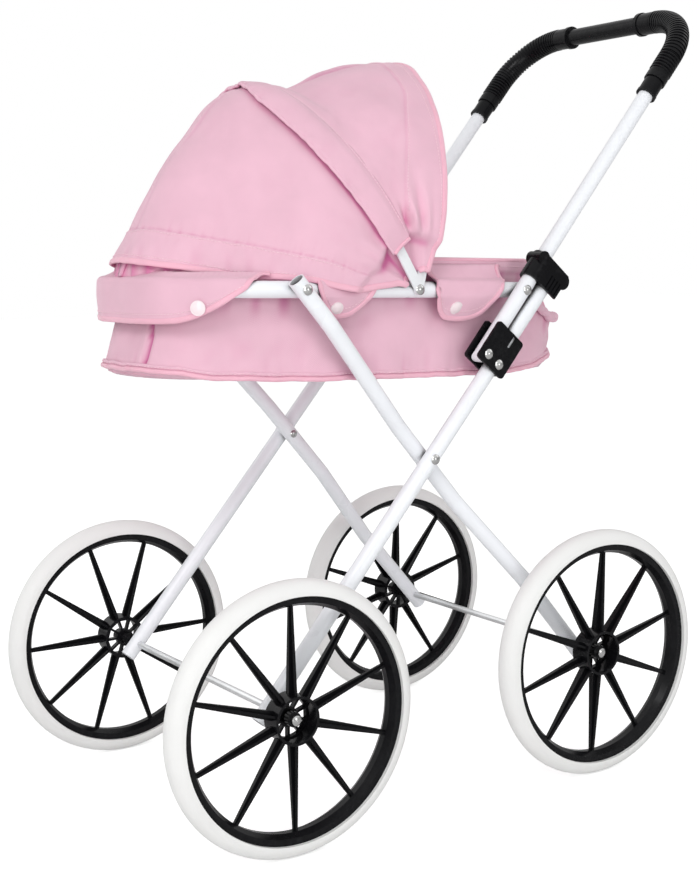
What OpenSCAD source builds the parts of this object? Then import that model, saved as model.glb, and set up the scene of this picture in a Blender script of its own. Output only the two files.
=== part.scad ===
// Doll stroller: folding scissor frame, soft carrycot with hood, four spoked wheels.
// Millimetres. +Z up, handle towards +Y, hood towards -Y, left side towards +X.
// Origin on the floor, under the middle of the outline.

/* [Wheels] */
// Radius of the wheel rim's outer lip
rim_r = 100; // [92:1:108]
// Height of the tyre outside the rim lip
tyre_proud = 12.5; // [9:0.5:16]
// Width of the tyre
tyre_w = 23; // [18:0.5:26]
// Width of the rim over its two lips
rim_w = 17; // [14:0.5:18]
// Number of spokes in a wheel
spoke_count = 10; // [8:1:12]
// Outer radius of the hub drum
hub_r = 20; // [16:0.5:24]
// Diameter of the axle rod
axle_d = 6; // [5:0.5:8]
// Middle of the wheel from the centre plane
wheel_x = 159; // [154:1:168]
// Distance between the two axles
wheelbase = 325; // [315:1:335]

/* [Frame] */
// Outer diameter of the frame tubes
tube_d = 14; // [12:0.5:15]
// Wall of the frame tubes
tube_wall = 1; // [0.8:0.1:1.5]
// Centre of the front legs and of the handle from the centre plane
leg_x = 122.5; // [121:0.5:126]
// Lean of the front legs above level
leg_lean = 48.6; // [47:0.1:50]
// Lean of the rear legs above level
rear_lean = 49.74; // [48.5:0.05:51]
// Length of a leg tube past its axle
leg_tail = 14.7; // [12:0.1:18]
// Side clearance between two tubes that pass each other
side_gap = 0.5; // [0.4:0.1:1]
// Height of the side rails above the axles
rail_z = 332; // [328:1:336]
// Diameter of the rivet shanks
rivet_d = 5; // [4:0.5:6]
// Diameter of the rivet heads
rivet_head_d = 9; // [8:0.5:11]

/* [Handle] */
// Lean of the handle tubes above level
handle_lean = 49.6; // [48.8:0.1:50.5]
// Distance of the handle's lower rivet behind the front axle
fold_y = 222.5; // [221:0.5:224]
// Height of the handle's lower rivet above the axles
fold_z = 275; // [274:0.5:276]
// Distance from the lower rivet to the middle of the grip bar
handle_len = 400.5; // [380:0.5:420]
// Bend radius of the two elbows
elbow_r = 54; // [50:1:60]
// Outer diameter of the ribbed elbow sleeves
sleeve_d = 21.5; // [19:0.5:24]
// Outer diameter of the smooth grip bar
grip_d = 16.5; // [15.5:0.5:18.5]
// Half length of the smooth grip bar between the sleeves
grip_half = 49; // [44:1:54]

/* [Carrycot] */
// Gap between the hoop and the carrycot's nose
cot_nose_gap = 6.2; // [5.6:0.2:8]
// How far the carrycot's foot end reaches past the rails
cot_foot_reach = 96.7; // [90:0.1:100]
// Half width of the carrycot at its rim
cot_top_a = 99.5; // [97.5:0.5:99.5]
// Half width of the carrycot at its base
cot_base_a = 104; // [100:0.5:104]
// Slope of the carrycot and its rails down to the foot end
cot_slope = 1.7; // [0:0.1:2.5]
// Height of the carrycot's base above the axles
cot_base_z = 259; // [257:1:262]
// Height of the carrycot's rim above the axles
cot_rim_z = 354; // [351:1:356]
// Drop of the rim at the foot end
rim_drop = 46; // [36:1:52]
// Thickness of the quilted wall
cot_wall = 3; // [2.5:0.25:4]

/* [Hood] */
// Distance of the hood's hinge behind the front axle
hood_y = 159; // [157:1:161]
// Length of the hood bows from the hinge to the crown
bow_h = 200.5; // [196:0.5:205]
// Radius of the bows' crown
crown_r = 68; // [60:1:76]
// Lean of the middle bow forward of upright
mid_lean = 31; // [30:0.5:33]
// Lean of the rear bow back from upright
rear_bow_lean = 15; // [14:0.5:17]
// Width of the flat hood stays
stay_w = 9; // [8:0.5:10]
// Thickness of the hood's fabric
hood_t = 2.2; // [2:0.1:3]

/* [Hidden] */
$fn = 64;
eps = 0.01;
white = [0.93, 0.94, 0.96];
black = [0.05, 0.05, 0.055];
steel = [0.72, 0.73, 0.75];
pink = [0.96, 0.71, 0.82];
tyre_white = [0.93, 0.93, 0.92];

tyre_r = rim_r + tyre_proud;
tube_r = tube_d / 2;
hoop_r = 90;
bore_r = tube_r - tube_wall;
rivet_r = rivet_d / 2;
head_r = rivet_head_d / 2;
run_gap = 0.06;
rod_r = axle_d / 2;

// Pivots in the side plane, as [y, z] from the front axle
lt = tan(leg_lean);
rt = tan(rear_lean);
cross_y = wheelbase * rt / (lt + rt);
cross_z = cross_y * lt;
cross = [cross_y, cross_z];
fold = [fold_y, fold_z];
hdir = [cos(handle_lean), sin(handle_lean)];
hnorm = [sin(handle_lean), -cos(handle_lean)];
ldir = [cos(leg_lean), sin(leg_lean)];
bdir = [-cos(rear_lean), sin(rear_lean)];
rdir = [cos(cot_slope), -sin(cot_slope)];
pivot = [hood_y, rail_z];
rail_front = meet([wheelbase, 0], bdir, pivot, rdir);
rail_rear = meet(fold, hdir, pivot, rdir);
// The same two pivots along the rail, in the carrycot's own frame
front_y = hood_y + (rail_front - pivot) * rdir;
rear_y = hood_y + (rail_rear - pivot) * rdir;
grip = fold + handle_len * hdir;

// Ends of the side rails, and the carrycot between them
rail_start = front_y - 7;
rail_end = rear_y + 7;
cot_front = rail_start - hoop_r + tube_r + cot_nose_gap;
cot_back = rail_end + cot_foot_reach;
nose_slope = 26;
foot_slope = 3;
cot_base_b = (cot_back - cot_front + nose_slope + foot_slope) / 2;
cot_y = cot_front + cot_base_b - nose_slope;

// The side rails run inside the handle tubes, the rear legs inside the front legs
rail_x = leg_x - tube_d - side_gap;
back_leg_x = rail_x;
foot_x = leg_x + 3.5;

// Middle of the outline, so that the origin lies under it
y_mid = (-tyre_r + grip[0] + sleeve_d / 2 + 0.6) / 2;

// ---------- helpers ----------

// Crossing point of the line from p along d with the line from q along e
function meet(p, d, q, e) = let (r = q - p, c = d[0] * e[1] - d[1] * e[0])
  p + (r[0] * e[1] - r[1] * e[0]) / c * d;

// Tips the carrycot's own frame, with level rails, down to the foot end
module cot_frame() {
  translate([0, pivot[0], pivot[1]])
    rotate([-cot_slope, 0, 0])
      translate([0, -pivot[0], -pivot[1]])
        children();
}

// Moves geometry from the front axle's frame to the row frame
module place() {
  translate([0, -y_mid, tyre_r])
    children();
}

// Puts a side piece on the left (side = 1) or mirrors it to the right (side = -1)
module on_side(side) {
  if (side > 0) {
    children();
  } else {
    mirror([1, 0, 0])
      children();
  }
}

// Lays local Z along [y, z] direction d from point p, keeping X
module along(p, d, x = 0) {
  translate([x, p[0], p[1]])
    rotate([atan2(-d[0], d[1]), 0, 0])
      children();
}

// A cylinder along X between two x positions
module xrod(x0, x1, r) {
  translate([x0, 0, 0])
    rotate([0, 90, 0])
      cylinder(h = x1 - x0, r = r);
}

module xrod_at(p, x0, x1, r) {
  translate([0, p[0], p[1]])
    xrod(x0, x1, r);
}

module pipe(h, r, ri) {
  difference() {
    cylinder(h = h, r = r);
    translate([0, 0, -1])
      cylinder(h = h + 2, r = ri);
  }
}

// A bend of pipe through angle t, from local +Z towards local -X
module bend(br, r, ri, t = 90) {
  translate([-br, 0, 0])
    rotate([90, 0, 0])
      rotate_extrude(angle = t)
        translate([br, 0])
          difference() {
            circle(r = r);
            circle(r = ri);
          }
}

// A low domed rivet head with its flat side at x = 0, standing towards +X
module head(r, h) {
  rotate([0, 90, 0])
    intersection() {
      cylinder(h = h, r = r);
      translate([0, 0, h - (r * r + h * h) / (2 * h)])
        sphere(r = (r * r + h * h) / (2 * h));
    }
}

// A rivet along X with a head on its outer end and a closing head on its inner end
module rivet(p, x0, x1) {
  translate([0, p[0], p[1]]) {
    xrod(x0 - eps, x1 + eps, rivet_r);
    translate([x1, 0, 0])
      head(head_r, 2.2);
    translate([x0, 0, 0])
      mirror([1, 0, 0])
        head(head_r * 0.85, 1.6);
  }
}

function sgn(v) = v < 0 ? -1 : 1;
function smooth(v) = v <= 0 ? 0 : v >= 1 ? 1 : v * v * (3 - 2 * v);
function arc_x(t, a, n) = a * sgn(cos(t)) * pow(abs(cos(t)), 2 / n);
function arc_s(t, b, n) = b * sgn(sin(t)) * pow(abs(sin(t)), 2 / n);

// ---------- wheels ----------

module spoke() {
  inner = hub_r - 1;
  outer = rim_r - 7.5;
  // face blade, tapering outward
  translate([-1.2, 0, 0])
    rotate([90, 0, 90])
      linear_extrude(height = 2.4)
        polygon([[-3.9, inner], [3.9, inner], [1.9, outer], [-1.9, outer]]);
  // rib on edge, deep at the hub
  rotate([90, 0, 0])
    translate([0, 0, -1])
      linear_extrude(height = 2)
        polygon([[-8, inner], [6.5, inner], [2.6, outer], [-2.6, outer]]);
}

// Rim section: tyre channel outside, crowned towards the spokes inside
module rim_profile() {
  lip = rim_w / 2;
  polygon([[rim_r, -lip], [rim_r, -lip + 1.8], [rim_r - 4.5, -lip + 1.8],
    [rim_r - 4.5, lip - 1.8], [rim_r, lip - 1.8], [rim_r, lip], [rim_r - 5.5, lip],
    [rim_r - 8.5, 3], [rim_r - 8.5, -3], [rim_r - 5.5, -lip]]);
}

module hub_window() {
  rotate([0, 90, 0])
    linear_extrude(height = 12, center = true)
      polygon([[-8.2, -1.6], [-8.2, 1.6], [-16.4, 4.2], [-16.4, -4.2]]);
}

module wheel() {
  lip = rim_w / 2;
  rotate([0, 90, 0])
    rotate_extrude($fn = 96)
      rim_profile();
  for (i = [0:spoke_count - 1])
    rotate([i * 360 / spoke_count, 0, 0])
      spoke();
  // drum, web with windows and bearing tube
  difference() {
    xrod(-10.5, lip, hub_r);
    xrod(-6, lip + 1, hub_r - 2.2);
    xrod(-12, 0, rod_r + run_gap);
    for (i = [0:spoke_count - 1])
      rotate([i * 360 / spoke_count + 18, 0, 0])
        translate([-8, 0, 0])
          hub_window();
  }
  difference() {
    xrod(-10.5, 3, 6.2);
    xrod(-12, 6, rod_r + run_gap);
  }
}

module tyre() {
  wr = tyre_w / 2;
  lip = rim_w / 2;
  cr = tyre_r - wr;
  rotate([0, 90, 0])
    rotate_extrude($fn = 96) {
      intersection() {
        translate([cr, 0])
          circle(r = wr);
        translate([rim_r + 0.15, -20])
          square([30, 40]);
      }
      translate([rim_r - 4.45, -lip + 1.85])
        square([4.7, rim_w - 3.7]);
    }
}

// Places a wheel on its axle, turned to where it came to rest
module at_wheel(side, y, turn) {
  place()
    on_side(side)
      translate([wheel_x, y, 0])
        rotate([turn, 0, 0])
          children();
}

module axle(y) {
  place()
    translate([0, y, 0])
      xrod(-(wheel_x + 5.5), wheel_x + 5.5, rod_r);
}

cap_r = rod_r + 1.2;

module axle_caps(y) {
  place()
    for (s = [1, -1])
      on_side(s)
        translate([0, y, 0])
          difference() {
            union() {
              xrod(wheel_x + 3.3, wheel_x + 6.8, cap_r);
              translate([wheel_x + 6.8, 0, 0])
                head(cap_r, 1.4);
            }
            xrod(wheel_x, wheel_x + 5.5, rod_r);
          }
}

module axle_spacers(y, x0) {
  place()
    for (s = [1, -1])
      on_side(s)
        translate([0, y, 0])
          difference() {
            xrod(x0 + tube_r + 0.2, wheel_x - 10.8, 5.6);
            xrod(x0, wheel_x, rod_r);
          }
}

// ---------- legs ----------

leg_len = (rail_z + 8) / sin(leg_lean);

module front_leg() {
  difference() {
    along([0, 0] - leg_tail * ldir, ldir, leg_x)
      pipe(leg_len + leg_tail, tube_r, bore_r);
    xrod(leg_x - 20, leg_x + 20, rod_r);
    xrod_at(cross, leg_x - 20, leg_x + 20, rivet_r);
    xrod_at(leg_rivet(), leg_x - 20, leg_x + 20, rivet_r);
  }
}

// Position of the bracket's fixed rivet, on the front leg beside the handle's rivet
function leg_rivet() = let (u = fold * ldir) u * ldir;

// Middle line of the rear leg, in its own frame: x sideways, z along the leg, bent clear of
// the front leg
function leg_pts() = let (
  l = norm([wheelbase - rail_front[0], rail_z]),
  u = norm(cross - [wheelbase, 0]))
  [[foot_x, -leg_tail], [foot_x, u - 154], [back_leg_x, u - 56], [back_leg_x, u + 36],
   [leg_x, l - 37], [leg_x, l + 12.8]];

// How far the ball at a bend stands proud of the tube that it rounds off
knuckle = 0.06;

// Rod of radius r along the rear leg's points, rounded at the bends, its ends reaching over by e
module leg_run(r, e) {
  p = leg_pts();
  n = len(p) - 1;
  for (i = [0:n - 1]) {
    d = p[i + 1] - p[i];
    e0 = i == 0 ? e : 0;
    e1 = i == n - 1 ? e : 0;
    translate([p[i][0], 0, p[i][1]])
      rotate([0, atan2(d[0], d[1]), 0])
        translate([0, 0, -e0])
          cylinder(h = norm(d) + e0 + e1, r = r);
  }
  for (i = [1:n - 1])
    translate([p[i][0], 0, p[i][1]])
      sphere(r = r + knuckle);
}

module rear_leg() {
  difference() {
    along([wheelbase, 0], bdir)
      difference() {
        leg_run(tube_r, 0);
        leg_run(bore_r, 1);
      }
    translate([0, wheelbase, 0])
      xrod(foot_x - 20, foot_x + 20, rod_r);
    xrod_at(cross, back_leg_x - 20, back_leg_x + 12, rivet_r + run_gap);
    xrod_at(rail_front, leg_x - 12, leg_x + 20, rivet_r + run_gap);
  }
}

// ---------- fold bracket, its rivets and the lock clip ----------

bracket_in = leg_x - tube_r - 0.4;
bracket_out = leg_x + tube_r + 0.4;
plate_t = 2.4;

plate_len = 39;
plate_y0 = -9.5;
plate_y1 = 25.5;

module bracket_side(x0) {
  // rounded plate: y behind the handle tube, z up it
  translate([x0, 0, 0])
    rotate([90, 0, 90])
      linear_extrude(height = plate_t)
        difference() {
          union() {
            translate([plate_y0, -6])
              square([plate_y1 - plate_y0, plate_len - 6]);
            translate([plate_y0 + 3, -9])
              square([plate_y1 - plate_y0 - 6, plate_len]);
            for (u = [plate_y0 + 3, plate_y1 - 3], w = [-6, plate_len - 12])
              translate([u, w])
                circle(r = 3);
          }
          circle(r = rivet_r);
          translate(rivet_uv())
            circle(r = rivet_r);
          // slot over the leg
          translate([plate_y1 - 13.5, 17])
            square([4, 12]);
        }
}

// Fixed rivet in the bracket's own frame
function rivet_uv() = let (d = leg_rivet() - fold) [d * hnorm, d * hdir];

module bracket() {
  along_handle()
    union() {
      bracket_side(bracket_in - plate_t);
      bracket_side(bracket_out);
      // back wall behind the leg
      translate([bracket_in - 1, plate_y1 - plate_t, -6])
        cube([bracket_out - bracket_in + 2, plate_t, plate_len - 6]);
    }
}

// Local frame at the handle's lower rivet: x sideways, y behind the tube, z up the tube
module along_handle() {
  translate([0, fold[0], fold[1]])
    rotate([handle_lean - 90, 0, 0])
      children();
}

module bracket_rivets_pair() {
  for (s = [1, -1])
    on_side(s) {
      rivet(fold, bracket_in - plate_t, bracket_out + plate_t);
      rivet(leg_rivet(), bracket_in - plate_t, bracket_out + plate_t);
    }
}

clip_s = 82.5;
clip_top = 108;

// Roof of the clip's jaw, just over the end of the leg
jaw_top = (leg_len * ldir - fold) * hdir + 1.2;

module lock_clip() {
  wall = 2.4;
  half = tube_r + 0.35 + wall;
  translate([leg_x, 0, 0])
    difference() {
      union() {
        // sleeve round the handle tube
        translate([0, 0, clip_s])
          cylinder(h = clip_top - clip_s, r = half);
        translate([-half, 0, clip_s])
          cube([2 * half, 10, clip_top - clip_s]);
        // jaw over the leg, behind the sleeve
        translate([-half, 7.5, clip_s])
          cube([2 * half, 20.5, clip_top - clip_s]);
        // thumb lobes
        translate([-half + 1, -4, clip_top - 5])
          rotate([0, 90, 0])
            cylinder(h = 2 * half - 2, r = 6.5);
        translate([-half + 1, 26, clip_top - 7])
          rotate([0, 90, 0])
            cylinder(h = 2 * half - 2, r = 7.5);
      }
      translate([0, 0, clip_s - 20])
        cylinder(h = 80, r = tube_r + 0.15);
      // room for the leg, open behind and below
      translate([-(tube_r + 0.35), 8, clip_s - 20])
        cube([2 * tube_r + 0.7, 40, jaw_top - clip_s + 20]);
      // grip flutes on the outer face
      for (i = [0:3])
        translate([half - 0.8, 11.5 + 4 * i, clip_s + 1])
          cube([2, 1.6, 13]);
    }
}

// ---------- rails, hoop and base ----------

spigot = 18;

module rail() {
  difference() {
    translate([rail_x, rail_start, rail_z])
      rotate([-90, 0, 0])
        pipe(rail_end - rail_start, tube_r, bore_r);
    xrod_at([front_y, rail_z], rail_x - 20, rail_x + 20, rivet_r);
    xrod_at(pivot, rail_x, rail_x + 20, rivet_r);
  }
}

module hoop() {
  hx = rail_x - hoop_r;
  difference() {
    translate([0, rail_start, rail_z])
      rotate([-90, 0, 0])
        mirror([0, 0, 1])
          for (s = [1, -1])
            on_side(s) {
              translate([rail_x, 0, 0])
                bend(hoop_r, tube_r, bore_r);
              // solid spigot that plugs into the rail, pinned by the rail's rivet
              translate([rail_x, 0, -spigot])
                cylinder(h = spigot + 0.5, r = bore_r - 0.02);
            }
    xrod_at([front_y, rail_z], -leg_x, leg_x, rivet_r);
  }
  translate([-hx, rail_start - hoop_r, rail_z])
    rotate([0, 90, 0])
      pipe(2 * hx, tube_r, bore_r);
}

wire_r = 2;

// Unit vector of v
function unit(v) = v / norm(v);

// Closed tube of radius r along points p, with k sides
module sweep(p, r, k) {
  n = len(p);
  ring = [for (i = [0:n - 1]) let (
    d = unit(p[min(i + 1, n - 1)] - p[max(i - 1, 0)]),
    u = unit(cross(d, [0, 0, 1])),
    w = cross(u, d))
    for (j = [0:k - 1]) p[i] + r * (cos(j * 360 / k) * u + sin(j * 360 / k) * w)];
  polyhedron(points = ring, faces = concat(
    [for (i = [0:n - 2]) for (j = [0:k - 1])
      [i * k + j, (i + 1) * k + (j + 1) % k, (i + 1) * k + j]],
    [for (i = [0:n - 2]) for (j = [0:k - 1])
      [i * k + j, i * k + (j + 1) % k, (i + 1) * k + (j + 1) % k]],
    [[for (j = [k - 1:-1:0]) j]],
    [[for (j = [0:k - 1]) (n - 1) * k + j]]));
}

// Spring wire in the hem of the foot end, from one rail end round to the other
module hem_wire() {
  hem = [for (i = [8:22]) cot_pt(i, 0.93, -wire_r - 0.3)];
  start = [rail_x, rail_end + 1.2, rail_z];
  sweep(concat([start], [for (i = [0:14]) hem[i]], [[-start[0], start[1], start[2]]]),
    wire_r, 10);
  for (s = [1, -1])
    translate([s * rail_x, rail_end - 5.5, rail_z])
      rotate([-90, 0, 0]) {
        cylinder(h = 5.6, r = bore_r - 0.02);
        translate([0, 0, 5.5])
          cylinder(h = 2.2, r = tube_r - 0.4);
      }
}

// ---------- carrycot ----------

cot_n = 60;
cot_levels = 6;

// Outline point i of the carrycot at height fraction f, drawn in by d
function cot_pt(i, f, d) = let (
  t = i * 360 / cot_n,
  n = 2.7 + 0.5 * f,
  a = cot_base_a + (cot_top_a - cot_base_a) * f - d,
  bb = cot_base_b - foot_slope * f - d,
  bf = cot_base_b - nose_slope * f - d,
  x = arc_x(t, a, n),
  s = arc_s(t, 1, n),
  y = cot_y + (s > 0 ? s * bb : s * bf),
  top = cot_rim_z - rim_drop * smooth((y - rear_y - 28) / 46)
    - (cot_rim_z - rail_z - 8.5) * (1 - smooth((y - front_y + 11) / 80)),
  z0 = cot_base_z + (d > 0 ? 2 : 0))
  [x, y, z0 + (top - z0) * f];

module cot_shell() {
  m = cot_levels + 1;
  outer = [for (j = [0:cot_levels]) for (i = [0:cot_n - 1]) cot_pt(i, j / cot_levels, 0)];
  inner = [for (j = [0:cot_levels]) for (i = [0:cot_n - 1]) cot_pt(i, j / cot_levels, cot_wall)];
  k = len(outer);
  polyhedron(points = concat(outer, inner), faces = concat(
    [for (j = [0:cot_levels - 1]) for (i = [0:cot_n - 1])
      [j * cot_n + i, (j + 1) * cot_n + i, (j + 1) * cot_n + (i + 1) % cot_n]],
    [for (j = [0:cot_levels - 1]) for (i = [0:cot_n - 1])
      [j * cot_n + i, (j + 1) * cot_n + (i + 1) % cot_n, j * cot_n + (i + 1) % cot_n]],
    [for (j = [0:cot_levels - 1]) for (i = [0:cot_n - 1])
      [k + j * cot_n + i, k + (j + 1) * cot_n + (i + 1) % cot_n, k + (j + 1) * cot_n + i]],
    [for (j = [0:cot_levels - 1]) for (i = [0:cot_n - 1])
      [k + j * cot_n + i, k + j * cot_n + (i + 1) % cot_n, k + (j + 1) * cot_n + (i + 1) % cot_n]],
    [for (i = [0:cot_n - 1])
      [(m - 1) * cot_n + i, k + (m - 1) * cot_n + i, k + (m - 1) * cot_n + (i + 1) % cot_n]],
    [for (i = [0:cot_n - 1])
      [(m - 1) * cot_n + i, k + (m - 1) * cot_n + (i + 1) % cot_n, (m - 1) * cot_n + (i + 1) % cot_n]],
    [[for (i = [0:cot_n - 1]) i]],
    [[for (i = [cot_n - 1:-1:0]) k + i]]));
}

module board() {
  pts = [for (i = [0:cot_n - 1]) let (p = cot_pt(i, 0.02, cot_wall + 3.5)) [p[0], p[1]]];
  translate([0, 0, cot_base_z + 2.05])
    linear_extrude(height = 3.2)
      polygon(pts);
}

// Plan outline of the hoop and rails, grown outward to radius r
module hoop_outline(r) {
  hx = rail_x - hoop_r;
  for (s = [1, -1])
    translate([s * hx, rail_start])
      circle(r = r, $fn = 96);
  translate([-hx - r, rail_start])
    square([2 * (hx + r), 30]);
  translate([-hx, rail_start - r])
    square([2 * hx, r]);
}

flap_in = 0.25;
flap_t = 1.9;
// Depth of the nose flap below the middle of the rail
flap_drop = 28.5;

module nose_flap() {
  r0 = hoop_r + tube_r + flap_in;
  r1 = r0 + flap_t;
  inside = [for (i = [0:cot_n - 1]) let (p = cot_pt(i, 0.9, -0.3)) [p[0], p[1]]];
  difference() {
    union() {
      translate([0, 0, rail_z - flap_drop])
        linear_extrude(height = flap_drop + 9)
          difference() {
            hoop_outline(r1);
            hoop_outline(r0);
          }
      translate([0, 0, rail_z + 9 - eps])
        linear_extrude(height = flap_t)
          difference() {
            hoop_outline(r1);
            polygon(inside);
          }
    }
    // slanted ends at both sides
    translate([0, rail_start, rail_z])
      rotate([90, 0, 90])
        linear_extrude(height = 4 * rail_x, center = true)
          polygon([[-77, -36], [-77, -flap_drop], [-68, 1 - flap_drop], [-59.6, -21],
            [-50.4, -14], [-40.6, -3.5], [-32, 6], [-28, 12], [-26, 30], [cot_base_b, 30],
            [cot_base_b, -36]]);
  }
}

// Side outline [y, z] of the flap behind the front leg's rivet, from that rivet
function flap_mid() = [[19, 26], [17, 2], [25, -10], [33, -19.5], [41, -21.5], [51, -19],
  [65, -8], [73, 0], [76, 26]];
// Side outline [y, z] of the flap before the handle's rivet, from that rivet
function flap_back() = [[-95, 26], [-92, 0], [-86, -18], [-78, -24], [-66, -25], [-52, -24],
  [-40, -20], [-28, -8], [-18, 6], [-16, 26]];

module flap_section() {
  x0 = rail_x + tube_r + flap_in;
  rotate([90, 0, 0])
    linear_extrude(height = 2 * rail_x, center = true)
      polygon([[cot_top_a + 0.4, 11.2], [x0 - 1, 9.4], [x0 + flap_t, 4.5], [x0 + flap_t, -7],
        [x0 - 8.8, -26.2],
        [x0 - 10.9, -25.4], [x0, -6.4], [x0, 3.7], [x0 - 2, 7.6],
        [cot_top_a + 0.4, 9.3]]);
}

module flap_pair() {
  for (o = [[front_y, flap_mid()], [rear_y, flap_back()]])
    translate([0, o[0], rail_z])
      intersection() {
        flap_section();
        rotate([90, 0, 90])
          linear_extrude(height = 2 * rail_x)
            polygon(o[1]);
      }
}

snap_r = 6.2;

module snap() {
  rotate([0, 90, 0])
    cylinder(h = 0.9, r = snap_r);
  translate([0.9 - eps, 0, 0])
    head(snap_r - 0.8, 1.7);
}

module snaps() {
  r1 = hoop_r + tube_r + flap_in + flap_t;
  hx = rail_x - hoop_r;
  tilt = 29.1;
  for (s = [1, -1])
    on_side(s) {
      translate([hx, rail_start, rail_z - 15])
        rotate([0, 0, -44.6])
          translate([r1 + 0.05, 0, 0])
            snap();
      for (y = [front_y + 38, rear_y - 66])
        translate([rail_x + tube_r + flap_in - 2.8, y, rail_z - 15.5])
          rotate([0, tilt, 0])
            snap();
    }
}

module rail_rivet_pair() {
  for (s = [1, -1])
    on_side(s)
      rivet(rail_front, rail_x - tube_r, leg_x + tube_r);
}

// ---------- hood ----------

stay_t = 1.8;
stay_in = rail_x + tube_r + 0.2;
module hood_rivet_pair() {
  for (s = [1, -1])
    on_side(s)
      translate([0, hood_y, rail_z]) {
        xrod(rail_x, stay_in + 2 * stay_t + 0.4, rivet_r);
        translate([stay_in + 2 * stay_t + 0.4, 0, 0])
          head(head_r, 2);
      }
}

// Bow outline: straight legs, side arcs of radius side_r and a crown of radius crown_r.
// a is the half width, h the length from the hinge to the crown
bow_leg = 34;
function side_r(a, h) = (a * a - crown_r * crown_r + pow(h - bow_leg - crown_r, 2))
  / (2 * (a - crown_r));
function side_turn(a, h) = atan2(h - bow_leg - crown_r, side_r(a, h) - a);

// Piece of the strip bent to radius r, from angle t0 over t
module strip_arc(r, t0, t) {
  rotate([90, 0, 0])
    rotate([0, 0, t0])
      rotate_extrude(angle = t, $fn = 96)
        translate([r - stay_t, -stay_w / 2])
          square([stay_t, stay_w]);
}

// Flat strip bent into a bow, standing on the hinge
module bow(a, h) {
  r = side_r(a, h);
  t = side_turn(a, h);
  for (s = [1, -1])
    on_side(s) {
      translate([a - stay_t, -stay_w / 2, 0])
        cube([stay_t, stay_w, bow_leg]);
      translate([a - r, 0, bow_leg])
        strip_arc(r, 0, t);
    }
  translate([0, 0, h - crown_r])
    strip_arc(crown_r, t, 180 - 2 * t);
}

module hood_bow(lean, a, h) {
  translate([0, pivot[0], pivot[1]])
    rotate([lean, 0, 0])
      difference() {
        union() {
          bow(a, h);
          // round ends at the hinge
          for (s = [1, -1])
            on_side(s)
              xrod(a - stay_t, a, stay_w / 2);
        }
        xrod(-200, 200, rivet_r + run_gap);
      }
}

hood_i = 32;
arch_side = 10;
// The rear bow is this much longer than the middle bow
rear_rise = 6;

// Point i of the hood's arch from hem length e: leg, side arc and crown, pushed out by d
function arch_pt(i, h, a, e, d) = let (
  m = min(i, hood_i - i),
  r = side_r(a, h),
  t = side_turn(a, h),
  u = m <= arch_side ? t * (m - 1) / (arch_side - 1)
    : t + (90 - t) * (m - arch_side) / (hood_i / 2 - arch_side),
  x = m < 1 ? a + d : m <= arch_side ? a - r + (r + d) * cos(u) : (crown_r + d) * cos(u),
  s = m < 1 ? e : m <= arch_side ? bow_leg + (r + d) * sin(u)
    : h - crown_r + (crown_r + d) * sin(u))
  [i <= hood_i / 2 ? x : -x, m == 1 ? max(s, e + 1) : s];

// The same point on the fan, at angle q forward of upright
function hood_pt(q, i, h, a, e, d) = let (p = arch_pt(i, h, a, e, d))
  [p[0], pivot[0] - p[1] * sin(q), pivot[1] + p[1] * cos(q)];

// Closed shell over the fan angles q, with crown lengths hs, half widths as, hem lengths es
module hood_shell(q, hs, as, es) {
  nj = len(q);
  ni = hood_i + 1;
  k = nj * ni;
  function id(o, j, i) = o * k + j * ni + i;
  pts = [for (d = [0, hood_t]) for (j = [0:nj - 1]) for (i = [0:hood_i])
    hood_pt(q[j] + hem_turn(q[j], i), i, hs[j], as[j], es[j], d)];
  quads = concat(
    [for (j = [0:nj - 2]) for (i = [0:hood_i - 1])
      [id(1, j, i), id(1, j, i + 1), id(1, j + 1, i + 1), id(1, j + 1, i)]],
    [for (j = [0:nj - 2]) for (i = [0:hood_i - 1])
      [id(0, j, i), id(0, j + 1, i), id(0, j + 1, i + 1), id(0, j, i + 1)]],
    [for (i = [0:hood_i - 1]) [id(0, 0, i), id(0, 0, i + 1), id(1, 0, i + 1), id(1, 0, i)]],
    [for (i = [0:hood_i - 1])
      [id(0, nj - 1, i), id(1, nj - 1, i), id(1, nj - 1, i + 1), id(0, nj - 1, i + 1)]],
    [for (j = [0:nj - 2]) [id(0, j, 0), id(1, j, 0), id(1, j + 1, 0), id(0, j + 1, 0)]],
    [for (j = [0:nj - 2])
      [id(0, j, hood_i), id(0, j + 1, hood_i), id(1, j + 1, hood_i), id(1, j, hood_i)]]);
  polyhedron(points = pts, faces = concat(
    [for (f = quads) [f[0], f[2], f[1]]],
    [for (f = quads) [f[0], f[3], f[2]]]));
}

// Half width of the hood's inner face, just outside the stays
hood_a = stay_in + 2 * stay_t + 0.6;
hem_q = 83.5;

// Extra turn of the front hem: down over the rail near the hinge, up over its front end
function hem_turn(q, i) = let (m = min(i, hood_i - i))
  q < hem_q ? 0 : m < 2 ? 5 : m < 3 ? 0.5 : -1.6 * (hood_i / 2 - m) / (hood_i / 2 - 3);

module panel_front() {
  a = hood_a;
  hood_shell([mid_lean - 3.5, mid_lean + 4, 43, 52, 61, 69, 77, hem_q],
    [bow_h + 1, bow_h + 1, bow_h - 1, bow_h - 3, bow_h - 3, bow_h + 1, bow_h + 9, bow_h + 20],
    [a, a, a, a, a, a, a, a], [38, 36, 26, 18, 16, 16, 16, 16]);
}

module panel_rear() {
  a = hood_a;
  h1 = bow_h + rear_rise;
  hood_shell([-rear_bow_lean - 3, -rear_bow_lean + 3, -5, 4, 13, 21, mid_lean - 4.5],
    [h1 + 1.1, h1 + 1.1, bow_h - 4, bow_h - 12, bow_h - 18, bow_h - 13, bow_h - 1],
    [a, a, a, a, a, a, a], [34, 34, 36, 38, 38, 38, 38]);
}

// ---------- handle ----------

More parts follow.
